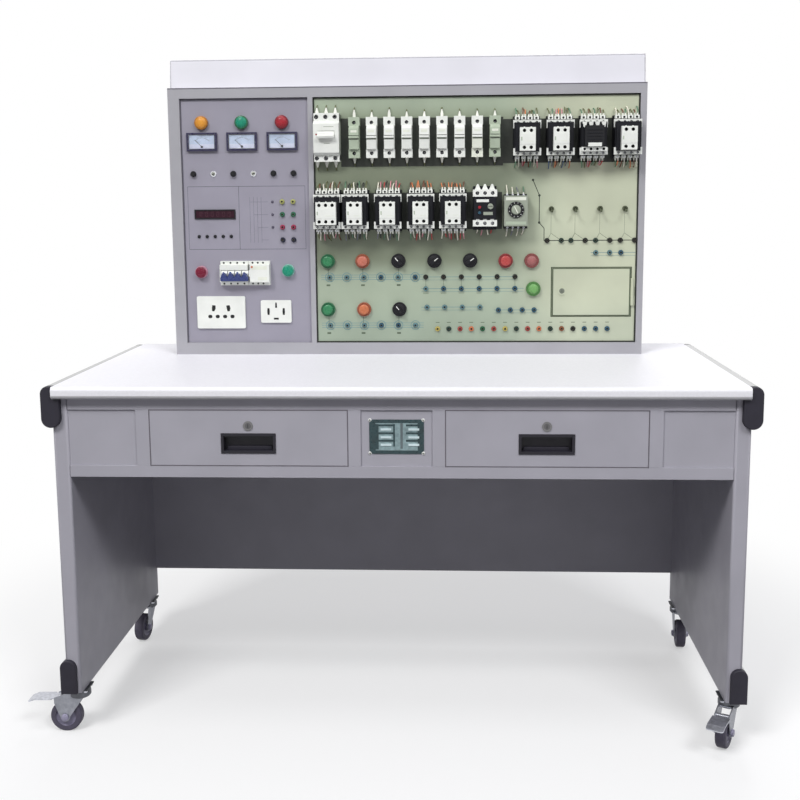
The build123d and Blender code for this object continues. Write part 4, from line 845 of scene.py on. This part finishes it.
SOCKET_ROWS = (
    (-326, 29, PHASE_ROWS[0], "lime lime"), (-326, 29, PHASE_ROWS[1], "forest forest"),
    (-326, 29, PHASE_ROWS[2], "mauve mauve"), (-326, 29, PHASE_ROWS[3], "ink_blue ink_blue"),
    (52, 47, UPPER_TAP_Z, "black " * 6), (52, 47, 1014, "steel_blue " + "blue " * 5),
    (55, 46.7, 965, "steel_blue " * 4), (244, 31.3, 957, "blue " * 4),
    (FOOT_ROW_X, FOOT_ROW_PITCH, 907, "yellow bottle brick orange green brick yellow bottle "
                                      "brick orange bottle brown black blue blue blue"),
    (370, 37, SWITCH_ROW_Z, "black bottle"), (432, 37, SWITCH_ROW_Z, "bottle black"),
    (496, 37, SWITCH_ROW_Z, "bottle black"), (560, 37, SWITCH_ROW_Z, "black black"),
    (497, 36, 1107, "steel_blue steel_blue"), (562, 30, 1107, "blue"),
    (TAP_X, TAP_PITCH, UPPER_TAP_Z, "steel_blue " * 3 + "blue steel_blue blue"),
    (TAP_X, TAP_PITCH, LOWER_TAP_Z, "steel_blue " * 3 + "blue blue steel_blue"),
)


def sockets():
    """Safety sockets with a coloured head, a metal sleeve and a dark disc of painted shade down the hole."""
    form = Form()
    head = [(0, 6.8), (1.6, 6.8), (1.6, 5.9), (6.0, 5.6), (7.0, 4.9), (7.0, 2.9), (0.4, 2.9)]
    for first, pitch, z, colours in SOCKET_ROWS:
        for index, colour in enumerate(colours.split()):
            at = on_panel(first + index * pitch, z)
            form.ring(head, paints[colour], at, 24)
            form.ring([(1.0, 2.9), (6.6, 2.9), (6.6, 2.2), (1.0, 2.2)], brass, at, 16)
            form.turned([(0.3, 2.9), (1.0, 2.9)], painted_hole_shade, at, 16)
    form.build("socket_field", replaces=("terminal_sockets",))


# Round fittings: x, z, cap, bezel, the cap's radius, the bezel's radius, and a button's slot

PANEL_RIM = 17.6
BOARD_RIM = 19.0
LENSES = (
    (METER_COLUMNS[0], LAMP_Z, "amber", "dark_amber", 14.0, PANEL_RIM),
    (METER_COLUMNS[1], LAMP_Z, "teal", "dark_leaf", 14.0, PANEL_RIM),
    (METER_COLUMNS[2], LAMP_Z, "red", "dark_red", 14.0, PANEL_RIM),
    (330, 1087, "dusty_red", "dark_dusty_red", 12.8, BOARD_RIM),
    (335, 1013, "fern", "dark_fern", 12.8, BOARD_RIM),
)
BUTTONS = {
    "stop_button": (-546, 1061, "dark_wine", "pink", 14.2, 16.5, "red_plastic"),
    "start_button": (-313, 1064, "teal", "pale_teal", 14.2, 16.5, "green_plastic"),
    "green_button_upper": (-207, UPPER_BUTTON_Z, "leaf", "dark_leaf", 13.6, 18.9, "green_plastic"),
    "green_button_lower": (-208, LOWER_BUTTON_Z, "leaf", "dark_leaf", 13.6, 18.9, "green_plastic"),
    "orange_button_upper": (-115, UPPER_BUTTON_Z, "salmon", "dark_orange", 13.6, 18.9, "orange_plastic"),
    "orange_button_lower": (-112, LOWER_BUTTON_Z, "orange", "dark_orange", 13.6, 18.9, "orange_plastic"),
    "red_button": (262, 1087, "rose", "dark_rose", 13.6, 18.9, "red_plastic"),
}
# Each selector: x, z and how far its pointer is turned from upright
SELECTORS = ((-20, UPPER_BUTTON_Z, 40), (75, UPPER_BUTTON_Z, -50), (169, UPPER_BUTTON_Z, -55),
             (-18, LOWER_BUTTON_Z, 40))


def lamp_lenses():
    """Domed lenses, each seated in a bezel of its own colour."""
    form = Form()
    for x, z, colour, rim, wide, outer in LENSES:
        at = on_panel(x, z)
        form.turned([(-6, 11.5), (8.05, 11.5), (8.1, wide), (10.2, wide), (12.2, wide * 0.85),
                     (13.6, wide * 0.58), (14.3, wide * 0.28), (14.4, 0)], paints[colour], at, 40)
        form.ring([(0, outer), (8.1, outer), (9.2, outer - 0.8), (9.9, wide + 0.05), (0, wide + 0.05)],
                  paints[rim], at, 40)
        for share, top in ((0.78, 12.5), (0.52, 13.6)):
            r = wide * share
            form.ring([(top, r + 0.5), (top + 0.6, r + 0.2), (top + 0.6, r - 0.2), (top, r - 0.5)],
                      paints[colour], at, 32)
    form.build("lamp_lenses", replaces=("indicator_lamps",))


def buttons_and_selectors():
    """Capped push buttons, selectors with a white line, and the bezel of each."""
    rings = Form()
    for name, (x, z, colour, rim, wide, outer, slot) in BUTTONS.items():
        at = on_panel(x, z)
        lip = max(outer - 2.2, wide + 0.9)
        rings.ring([(0, outer), (8.1, outer), (9.0, outer - 0.8), (9.2, lip), (8.4, wide + 0.5), (8.3, 12.2),
                    (0, 12.2)], paints[rim], at, 40)
        cap = Form()
        cap.turned([(-6, 11.6), (12.7, 11.6), (12.8, wide), (14.4, wide), (15.8, wide - 1.4),
                    (16.5, wide - 3.6), (16.8, 4), (16.8, 0)], paints[colour], at, 40)
        cap.build(f"{name}_cap", name, (name,))
    grip = [(-3.9, -12.4), (3.9, -12.4), (3.4, 11.0), (1.6, 13.4), (-1.6, 13.4), (-3.4, 11.0)]
    for index, (x, z, turn) in enumerate(SELECTORS, 1):
        at = on_panel(x, z)
        rings.ring([(0, 18.9), (8.1, 18.9), (9.0, 17.8), (9.1, 16.0), (8.4, 12.2), (0, 12.2)],
                   black_plastic, at, 40)
        knob = Form()
        turned = at @ spin(turn)
        knob.turned([(-6, 11.6), (8.4, 11.6), (8.5, 14.6), (10.6, 14.2), (11.2, 13.0), (11.2, 0)],
                    black_plastic, turned, 40)
        knob.prism(grip, (11.0, 24.2), black_plastic, turned)
        knob.block((-1.1, 1.1), (0.5, 12.0), (24.1, 24.8), white_plastic, turned)
        name = f"selector_{index}"
        knob.build(f"selector_knob_{index}", name, (name,), 0.4)
    rings.build("bezel_rings")


# Edging, outlets, meters and the timer

BOARD_LEFT, BOARD_RIGHT, BOARD_LOW, BOARD_HIGH = -240.0, 604.0, 871.0, 1513.0
GASKET_WIDTH = 3.6
GASKET_H = (0.0, 2.4)
SLOT_H = (5.9, 6.25)
RIM_H = (5.9, 6.5)


def gaskets_and_painted_shade():
    """Dark edging round the two panels, and dark strips of painted shade behind the switchgear rows."""
    form = Form()
    at = on_panel(0, 0)
    across, up = (BOARD_LEFT, BOARD_RIGHT), (BOARD_LOW, BOARD_HIGH)
    form.border(across, up, GASKET_WIDTH, GASKET_WIDTH, GASKET_H, gasket, at)
    form.blocks(edging, at, ((-590, -587.4), up, GASKET_H),
                ((-587.4, -253), (BOARD_HIGH - GASKET_WIDTH, BOARD_HIGH), GASKET_H))
    # Painted shade: dark strips on the board behind and between the switchgear.
    form.blocks(painted_shade_strip, at, ((-168, 254), (1334, 1458), (0.0, 0.8)),
                ((254, BOARD_RIGHT - GASKET_WIDTH), (1340, 1452), (0.0, 0.8)),
                ((-236, 252), (1170, 1266), (0.0, 0.8)))
    form.build("panel_gaskets_and_painted_shade")


def outlet_slots():
    """Slots of the two outlets, drawn as thin dark plates of painted shade, and the raised rim round each
    plate's face.
    """
    form = Form()
    wide = on_panel(-496, 953)
    oval = [(-5.4, -2), (-3, -4.4), (3, -4.4), (5.4, -2), (5.4, 2), (3, 4.4), (-3, 4.4), (-5.4, 2)]
    leaning = [(-4, -8), (2, -8), (5, -1), (4, 8), (-5, 8), (-5, 1)]
    for u, lean in ((-20, -8), (20, 8)):
        form.prism(leaning, SLOT_H, painted_hole_shade, wide @ shift(u, 11) @ spin(lean))
        for side in (-10, 10):
            form.prism(oval, SLOT_H, painted_hole_shade, wide @ shift(u + side, -11))
    small = on_panel(-348, 955)
    for u in (-20.5, 20.5):
        outline = [(u - 2.6, -9), (u + 2.6, -9), (u + 3.4, 0), (u + 2.6, 9), (u - 2.6, 9), (u - 3.4, 0)]
        form.prism(outline, SLOT_H, painted_hole_shade, small)
    form.prism([(-2.4, 10), (2.8, 10), (2.2, 25), (-1.8, 25)], SLOT_H, painted_hole_shade, small)
    form.block((-6.5, 6.5), (-21.6, -16.8), SLOT_H, painted_hole_shade, small)
    for at, half_u, half_v in ((wide, 57, 36), (small, 34, 24)):
        for way in (-1, 1):
            form.blocks(white_plastic, at, ((-half_u, half_u), span(way * half_v, 0.5), RIM_H),
                        (span(way * half_u, 0.5), (-half_v, half_v), RIM_H))
    form.build("outlet_slots")


SCALE_RADIUS = 23.0
SCALE_STEPS = 21
SCALE_HALF_ANGLE = 50


def meter_faces():
    """Dials with painted light on their lower part, with their scales and inner frames, behind clear windows.
    """
    form = Form()
    for x in METER_COLUMNS:
        at = on_panel(x, METER_Z)
        form.block((-36, 36), (-19.4, 19.4), (3.0, 3.3), dial_face, at)
        # Painted light: the lower part of the dial is a lighter copy of its colour.
        form.block((-36, 36), (-19.4, -6), (3.3, 3.34), dial_painted_light, at)
        form.blocks(meter_plastic, at, ((-36, -33.4), (-19.5, 19.5), (5.4, 6.4)),
                    ((33.4, 36), (-19.5, 19.5), (5.4, 6.4)), ((-33.4, 33.4), (-19.5, -17.8), (5.4, 6.4)),
                    ((-33.4, 33.4), (17.0, 19.5), (5.4, 6.4)))
        pivot = at @ shift(0, -13)
        arc = []
        for step in range(SCALE_STEPS):
            turn = SCALE_HALF_ANGLE - step * 5
            mark = SCALE_RADIUS + (4.4 if step % 5 == 0 else 2.4)
            form.block((-0.18, 0.18), (SCALE_RADIUS, mark), (3.3, 3.42), ink, pivot @ spin(turn))
            angle = math.radians(-turn)
            arc.append((SCALE_RADIUS * math.sin(angle), SCALE_RADIUS * math.cos(angle), 3.4))
        form.tube(arc, 0.16, ink, pivot, 6)
    form.build("meter_faces")
    glass = Form()
    for x in METER_COLUMNS:
        glass.block((-35.9, 35.9), (-19.4, 19.4), (6.5, 7.1), clear, on_panel(x, METER_Z))
    glass.build("meter_windows")


DISPLAY_U, DISPLAY_V, DISPLAY_WALL = 54.5, 12.5, 3.0
# The six dim segments of a digit, each by its reach in u and v
SEGMENTS = (
    ((-2.6, 2.6), (5.2, 6.2)), ((2.4, 3.4), (0.5, 5.4)), ((2.4, 3.4), (-5.4, -0.5)),
    ((-2.6, 2.6), (-6.2, -5.2)), ((-3.4, -2.4), (-5.4, -0.5)), ((-3.4, -2.4), (0.5, 5.4)),
)


def screw_cap(form, at):
    """A dark fuse cap with a slot of painted shade and ribs."""
    form.turned([(0, 7.8), (1.6, 7.8), (1.6, 6.9), (8.2, 6.5), (9.0, 5.6)], black_plastic, at, 24)
    form.block((-4.6, 4.6), (-0.8, 0.8), (8.6, 9.2), painted_hole_shade, at)
    for step in range(12):
        form.block((-0.5, 0.5), (6.4, 7.2), (2, 8), black_plastic, at @ spin(30 * step))


def key_switch(form, at):
    """A bright ring with a small dark lever in it."""
    form.ring([(0, 8.2), (1.4, 8.2), (2.4, 7.2), (2.4, 5.2), (0, 5.2)], chrome, at, 28)
    form.turned([(0, 5.2), (0.8, 5.2)], pale_plastic, at, 24)
    form.block((-3.4, 3.4), (-1.1, 1.1), (0.8, 6.8), black_plastic, at @ spin(12))


def timer_and_fuses():
    """The display, its keys, the fittings below the meters and the three small lamps."""
    form = Form()
    at = on_panel(-505.5, 1213.5)
    inner_u, inner_v = DISPLAY_U - DISPLAY_WALL, DISPLAY_V - DISPLAY_WALL
    form.border((-DISPLAY_U, DISPLAY_U), (-DISPLAY_V, DISPLAY_V), DISPLAY_WALL, DISPLAY_WALL, (0, 3.2),
                black_plastic, at)
    form.block((-inner_u, inner_u), (-inner_v, inner_v), (0, 1.5), display_red, at)
    for digit in range(6):
        for u, v in SEGMENTS:
            form.block(u, v, (1.5, 1.62), segment_red, at @ shift(-37.5 + digit * 15.0, 0))
    for index in range(5):
        form.turned([(0, 4.6), (1.2, 4.6), (1.2, 3.5), (3.8, 3.3), (4.2, 2.6)], black_plastic,
                    on_panel(-550 + index * 21.5, 1155), 20)
    for index, fitting in enumerate((screw_cap, key_switch, screw_cap, key_switch, screw_cap, screw_cap)):
        fitting(form, on_panel(-560 + index * 53.2, 1319))
    for z in PHASE_ROWS[:3]:
        form.turned([(0, 3.6), (0.8, 3.6), (1.0, 2.8), (2.6, 2.0), (3.0, 0.8)], rubber, on_panel(-352, z), 18)
    form.build("timer_and_fuses", replaces=("panel_instruments",), bevel=0.2)


# Printing, which has no words on it

PRINT = (0.0, 0.12)
FIELD_LEFT, FIELD_MIDDLE, FIELD_RIGHT, FIELD_LOW, FIELD_HIGH = -577, -441, -265, 1121, 1286
DOOR_X = (382.6, 590.4)
DOOR_Z = (939.6, 1068.4)


def lines(form, material, width, *segments):
    """Printed lines on a panel, each from x0, z0 to x1, z1."""
    for x0, z0, x1, z1 in segments:
        length = math.hypot(x1 - x0, z1 - z0)
        turn = Matrix.Rotation(math.atan2(z1 - z0, x1 - x0), 4, "Z")
        form.block((0, length), (-width / 2, width / 2), PRINT, material, on_panel(x0, z0) @ turn)


def panel_print():
    """The printed field round the phase sockets."""
    form = Form()
    lines(form, ink, 1.0, *((FIELD_LEFT, z, FIELD_RIGHT, z) for z in (FIELD_HIGH, FIELD_LOW)),
          (FIELD_MIDDLE, FIELD_HIGH, FIELD_MIDDLE, FIELD_LOW))
    lines(form, ink, 0.8, *((x, FIELD_HIGH, x, FIELD_LOW) for x in (FIELD_LEFT, FIELD_RIGHT)))
    for index, z in enumerate(PHASE_ROWS):
        x = -412 + index * 10
        lines(form, ink, 0.5, (x, 1258, x, 1138), (x, z, -364, z))
    form.build("panel_lines")


def board_print():
    """The mounting board's printed lines, and the border of the fault door."""
    form = Form()
    for z, x0, x1 in ((1045, 52, 287), (1014, 40, 310), (965, 40, 205), (1107, 484, 600), (957, 232, 350)):
        lines(form, blue_ink, 1.2, (x0, z, x1, z))
        lines(form, blue_ink, 0.7, (x0, z - 8, x1, z - 8))
    lines(form, dark_ink, 2.2, (362, SWITCH_ROW_Z, 600, SWITCH_ROW_Z))
    steps = ((332, 1296), (349, 1256), (349, 1186), (362, 1171), (362, SWITCH_ROW_Z))
    lines(form, dark_ink, 2.0, *((*start, *end) for start, end in zip(steps, steps[1:])))
    for x, z in steps[:3]:
        form.turned([(0, 3.2), (0.15, 3.2)], dark_ink, on_panel(x, z), 18)
    for z in (UPPER_TAP_Z, LOWER_TAP_Z):
        lines(form, blue_ink, 1.0, *((-226, z + drop, 46, z + drop) for drop in (-6, 0, 6)))
        for index in range(TAP_COUNT):
            at = on_panel(TAP_X + index * TAP_PITCH, z)
            form.ring([(0, 12.6), (0.14, 12.6), (0.14, 11.2), (0, 11.2)], blue_ink, at, 28)
    for x in (-207, -115, -20):
        lines(form, board_ink, 1.2, (x, 1068, x, UPPER_TAP_Z), (x, 940, x, LOWER_TAP_Z))
        for z in (1024, 896):
            form.block((-5, 5), (-2.4, 2.4), PRINT, board_ink, on_panel(x, z))
    for index in range(6):
        x = 52 + index * 47
        lines(form, board_ink, 0.8, (x, UPPER_TAP_Z, x, 1014))
        lines(form, board_ink, 1.0, (x - 7, 1002, x + 7, 1002))
    for x in (380, 442, 506, 570):
        lines(form, board_ink, 0.9, (x - 10, SWITCH_ROW_Z, x, 1158), (x + 27, SWITCH_ROW_Z, x, 1158))
        lines(form, board_ink, 0.6, (x, 1158, x, 1208))
    for index in range(16):
        x = FOOT_ROW_X + index * FOOT_ROW_PITCH
        lines(form, board_ink, 1.6, (x - 5, 924, x + 5, 924))
    lines(form, door_line, 2.8, *((DOOR_X[0] - 1.4, z, DOOR_X[1] + 1.4, z) for z in DOOR_Z),
          *((x, DOOR_Z[0], x, DOOR_Z[1]) for x in DOOR_X))
    form.build("board_lines")


# Trim on the bench and the cabinet

PLATE_RECESS = 4.0
HEADER_LEAN = (10.0, 75.0)
HEADER_HALF = 619.6
KNUCKLE_WIDTH = 8.0
CHEEK_OUT = 17.6
CAP_PROFILE = ((0, 8.8), (4.2, 8.4), (5.2, 6.6), (5.8, 3.0), (5.9, 0))


def centre_plate():
    """The small instrument plate in the apron's middle panel."""
    form = Form()
    at = on_panel(0, 724.5, APRON_Y + PLATE_RECESS)
    outline = [(-61, -32), (-54, -39), (54, -39), (61, -32), (61, 32), (54, 39), (-54, 39), (-61, 32)]
    form.prism(outline, (0.0, 1.6), plate_teal, at)
    form.block((-47, 47), (-31, 31), (1.6, 2.1), plate_pale, at)
    form.blocks(plate_teal, at, ((-52, -40), (-29, 29), (1.6, 2.3)), ((-7.5, -3.5), (-22, 29), (2.1, 2.5)))
    form.block((8.5, 14), (-27, 31), (2.1, 2.5), plate_grey, at)
    for u in (-24, 38):
        for v in (17, -1, -18):
            form.block((u - 11.5, u + 12.5), span(v, 2.4), (2.1, 3.6), plate_bright, at)
            form.block(span(u, 17), (v + 7.0, v + 11.4), (2.1, 2.5), plate_teal, at)
    for u in (-59.5, 59.5):
        for v in (-37.5, 37.5):
            screw(form, u, v, 0, 4.0, at, white_plastic, 20)
    form.build("centre_plate")


def cabinet_screws():
    """Screws in the cabinet's rear and sides."""
    form = Form()
    rear = shift(0, CABINET_REAR_Y) @ spin(180) @ FACING
    for u in (-600, -200, 200, 600):
        for v in (855, 1190, 1525):
            screw(form, u, v, 0, 3.2, rear, turn=0)
    for side in (-1, 1):
        wall = shift(side * CABINET_SIDE_X, 0) @ spin(90 * side) @ FACING
        for u in (200, 340):
            for v in (880, 1500):
                screw(form, u * side, v, 0, 3.2, wall, turn=0)
    form.build("cabinet_screws")


def caster_races():
    """The ball race under each mounting plate, and the plate's four bolts."""
    form = Form()
    race = [(-9, 22.5), (-6, 25), (4, 25), (8, 22.5), (8, 20.4), (-9, 20.4)]
    for x in (-761, 761):
        for y in (-310, 270):
            at = shift(x, y, 96)
            form.ring(race, race_steel, at, 40)
            for u in (-19, 19):
                for v in (-19, 19):
                    form.turned([(6.5, 5), (10.8, 5)], zinc, at @ shift(u, v), 6)
    form.build("caster_races")


def axle_caps():
    """A pale cap over each caster's axle nut, outside both cheeks of the fork."""
    spins = {joint["child"]: Vector(joint["axis"]) for joint in frame["joints"]}
    for name in CASTERS:
        wheel = f"caster_wheel_{name}"
        low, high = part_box(wheel)
        centre = Vector([(a + b) / 2 for a, b in zip(low, high)]) / MM
        axis = spins[wheel].normalized()
        form = Form()
        for way in (-1, 1):
            at = Matrix.Translation(centre) @ (axis * way).to_track_quat("Z", "Y").to_matrix().to_4x4()
            form.turned([(CHEEK_OUT + h, radius) for h, radius in CAP_PROFILE], cap_lilac, at, 28)
        form.build(f"axle_caps_{name}", f"caster_fork_{name}")


def apron_gaps():
    """Shadow strips round each drawer opening of the apron."""
    form = Form()
    low, high, width, inset, thick = 658.5, 783.5, 2.6, 0.3, (0.0, 0.35)
    for side in (-1, 1):
        inner, outer = sorted((side * 110.5, side * 555.5))
        across = (inner - inset, outer + inset)
        form.blocks(gap_line, on_panel(0, 0, APRON_Y),
                    ((inner - width, across[0]), (low - width, high + width), thick),
                    ((across[1], outer + width), (low - width, high + width), thick),
                    (across, (high + 0.4, high + width), thick),
                    (across, (low - width * 0.8, low - 0.4), thick))
    form.build("apron_gaps")


def header_lines():
    """Thin folded edges along the header's front and the joint below it."""
    form = Form()
    lean = Matrix.Rotation(-math.atan2(*HEADER_LEAN), 4, "X")
    at = shift(0, HEADER_FOOT_Y, HEADER_FOOT_Z) @ lean @ FACING
    rise = math.hypot(*HEADER_LEAN)
    full, side, thick = (-HEADER_HALF, HEADER_HALF), (3.0, rise - 2.6), (0.0, 0.5)
    form.blocks(edging_light, at, (full, (rise - 2.6, rise - 0.2), thick),
                ((-HEADER_HALF, -HEADER_HALF + 2.4), side, thick),
                ((HEADER_HALF - 2.4, HEADER_HALF), side, thick))
    form.block(full, (0.2, 3.0), thick, edging, at)
    form.block(full, (1537.2, 1539.8), (0.0, 0.3), edging, on_panel(0, 0, FRAME_Y))
    form.build("header_edges")


def door_edging():
    """A dark edging inside the fault door's border."""
    low, high = (Vector(corner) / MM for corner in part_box("fault_door"))
    inset = 0.3
    across = (low.x + inset, high.x - KNUCKLE_WIDTH - inset)
    form = Form()
    up = (low.z + inset, high.z - inset)
    form.border(across, up, 3.1, 2.1, (0.0, 0.5), door_line, on_panel(0, 0, DOOR_FACE_Y))
    form.build("fault_door_edging", "fault_door")


def drawer_trim():
    """The moulded lips inside each drawer's pull."""
    for side, name in ((-1, "left"), (1, "right")):
        form = Form()
        at = on_panel(side * DRAWER_X, PULL_Z, APRON_Y)
        form.prism([(-52, -17), (52, -17), (50, -9), (-50, -9)], (-17, -14), cap_plastic, at)
        form.block((-55, 55), (-19.5, -17), (-14, 1.2), cap_plastic, at)
        form.block((-55, 55), (14, 18.5), (-18, 1.0), black_plastic, at)
        form.build(f"pull_detail_{name}", f"drawer_{name}", bevel=0.6)


# Room and camera

FLOOR_SEEN = (252, 252, 253)
FLOOR_BOUNCE = (128, 128, 130)
FLOOR_HALF = 30.0
SHADOW_LIFT = 0.4
SHADOW_FADE = (0.9, 1.9)
WORLD_LIGHT = 0.22
# Each lamp: name, place, target, width and height, watts and colour
LAMPS = (
    ("key_lamp", (-2.6, -4.6, 5.8), (0, 0, 0.9), (2.4, 1.8), 285, (1.0, 0.995, 0.98)),
    ("fill_lamp", (2.8, -4.4, 5.4), (0, 0, 0.9), (2.4, 1.8), 186, (0.98, 0.99, 1.0)),
    ("rear_lamp", (0.5, 4.2, 5.0), (0, 0, 0.9), (3.0, 2.0), 110, (1.0, 1.0, 1.0)),
    ("top_lamp", (0.0, -1.6, 6.6), (0, -0.2, 0.8), (2.6, 1.6), 50, (1.0, 1.0, 1.0)),
)
CAMERA_PLACE = (135.3, -2741.4, 1245.1)
YAW, PITCH, ROLL = 0.0527, 0.144, -0.008
SENSOR = 36.0
FOCAL_PIXELS = 1098
IMAGE_WIDTH = 800


def camera_sees(tree):
    """One where the camera looks, straight or by way of metal or glass."""
    path = shader_node(tree, "LightPath").outputs
    total = path["Is Camera Ray"]
    for name in ("Is Glossy Ray", "Is Transmission Ray"):
        total = arithmetic(tree, "MAXIMUM", total, path[name])
    return total


def floor_finish():
    """White with the bench's soft shadow, and plain white further out."""
    material = bpy.data.materials.new("studio_floor")
    material.use_nodes = True
    tree = material.node_tree
    tree.nodes.remove(tree.nodes["Principled BSDF"])
    near = shader_node(tree, "BsdfDiffuse", {"Color": linear(FLOOR_SEEN)}).outputs[0]
    bounce = shader_node(tree, "BsdfDiffuse", {"Color": linear(FLOOR_BOUNCE)}).outputs[0]
    far = shader_node(tree, "Emission", {"Strength": 1.0}).outputs[0]
    place = shader_node(tree, "TexCoord").outputs["Object"]
    reach = shader_node(tree, "VectorMath", links={0: place}, operation="LENGTH").outputs["Value"]
    fade = smooth_step(tree, reach, *SHADOW_FADE)
    values = {1: 1 - SHADOW_LIFT, 2: SHADOW_LIFT}
    lift = shader_node(tree, "Math", values, {0: fade}, operation="MULTIPLY_ADD")
    total = mixed(tree, camera_sees(tree), bounce, mixed(tree, lift.outputs[0], near, far))
    tree.links.new(total, tree.nodes["Material Output"].inputs["Surface"])
    return material


def surround():
    """White where it is seen, and a soft even light elsewhere."""
    world = bpy.data.worlds.new("studio")
    world.use_nodes = True
    tree = world.node_tree
    plain = tree.nodes["Background"]
    plain.inputs["Color"].default_value = (0.95, 0.96, 1.0, 1.0)
    plain.inputs["Strength"].default_value = WORLD_LIGHT
    seen = shader_node(tree, "Background", {"Color": (1.0, 1.0, 1.0, 1.0), "Strength": 1.0}).outputs[0]
    total = mixed(tree, camera_sees(tree), plain.outputs[0], seen)
    tree.links.new(total, tree.nodes["World Output"].inputs["Surface"])
    return world


def floor_and_light():
    """A pale floor, a white surround and soft lamps."""
    scene = bpy.context.scene
    scene.view_settings.view_transform = "Standard"
    scene.world = surround()
    mesh = bpy.data.meshes.new("studio_floor")
    half = FLOOR_HALF
    corners = [(-half, -half, 0), (half, -half, 0), (half, half, 0), (-half, half, 0)]
    mesh.from_pydata(corners, [], [(0, 1, 2, 3)])
    mesh.materials.append(floor_finish())
    floor = bpy.data.objects.new("studio_floor", mesh)
    scene.collection.objects.link(floor)
    for name, place, target, size, power, colour in LAMPS:
        data = bpy.data.lights.new(name, "AREA")
        data.shape = "RECTANGLE"
        data.size, data.size_y = size
        data.energy = power
        data.color = colour
        lamp = bpy.data.objects.new(name, data)
        lamp.location = place
        lamp.rotation_euler = (Vector(target) - Vector(place)).to_track_quat("-Z", "Y").to_euler()
        scene.collection.objects.link(lamp)


def camera():
    """The photograph's viewpoint, worked out from the bench's own corners."""
    ahead = Vector((-math.sin(YAW) * math.cos(PITCH), math.cos(YAW) * math.cos(PITCH), -math.sin(PITCH)))
    right = Vector((math.cos(YAW), math.sin(YAW), 0.0))
    up = right.cross(ahead)
    tilted_right = right * math.cos(ROLL) + up * math.sin(ROLL)
    tilted_up = up * math.cos(ROLL) - right * math.sin(ROLL)
    data = bpy.data.cameras.new("photo_camera")
    data.sensor_width = SENSOR
    data.lens = SENSOR * FOCAL_PIXELS / IMAGE_WIDTH
    data.shift_y = -0.05
    item = bpy.data.objects.new("photo_camera", data)
    turn = Matrix((tilted_right, tilted_up, -ahead)).transposed().to_4x4()
    item.matrix_world = Matrix.Translation(Vector(CAMERA_PLACE) * MM) @ turn
    bpy.context.scene.collection.objects.link(item)
    bpy.context.scene.camera = item


camera()
floor_and_light()
finish_cad_nodes()
switchgear()
fuse_row()
breakers()
residual_lever()
sockets()
lamp_lenses()
buttons_and_selectors()
gaskets_and_painted_shade()
outlet_slots()
meter_faces()
timer_and_fuses()
panel_print()
board_print()
centre_plate()
cabinet_screws()
caster_races()
axle_caps()
apron_gaps()
header_lines()
door_edging()
drawer_trim()
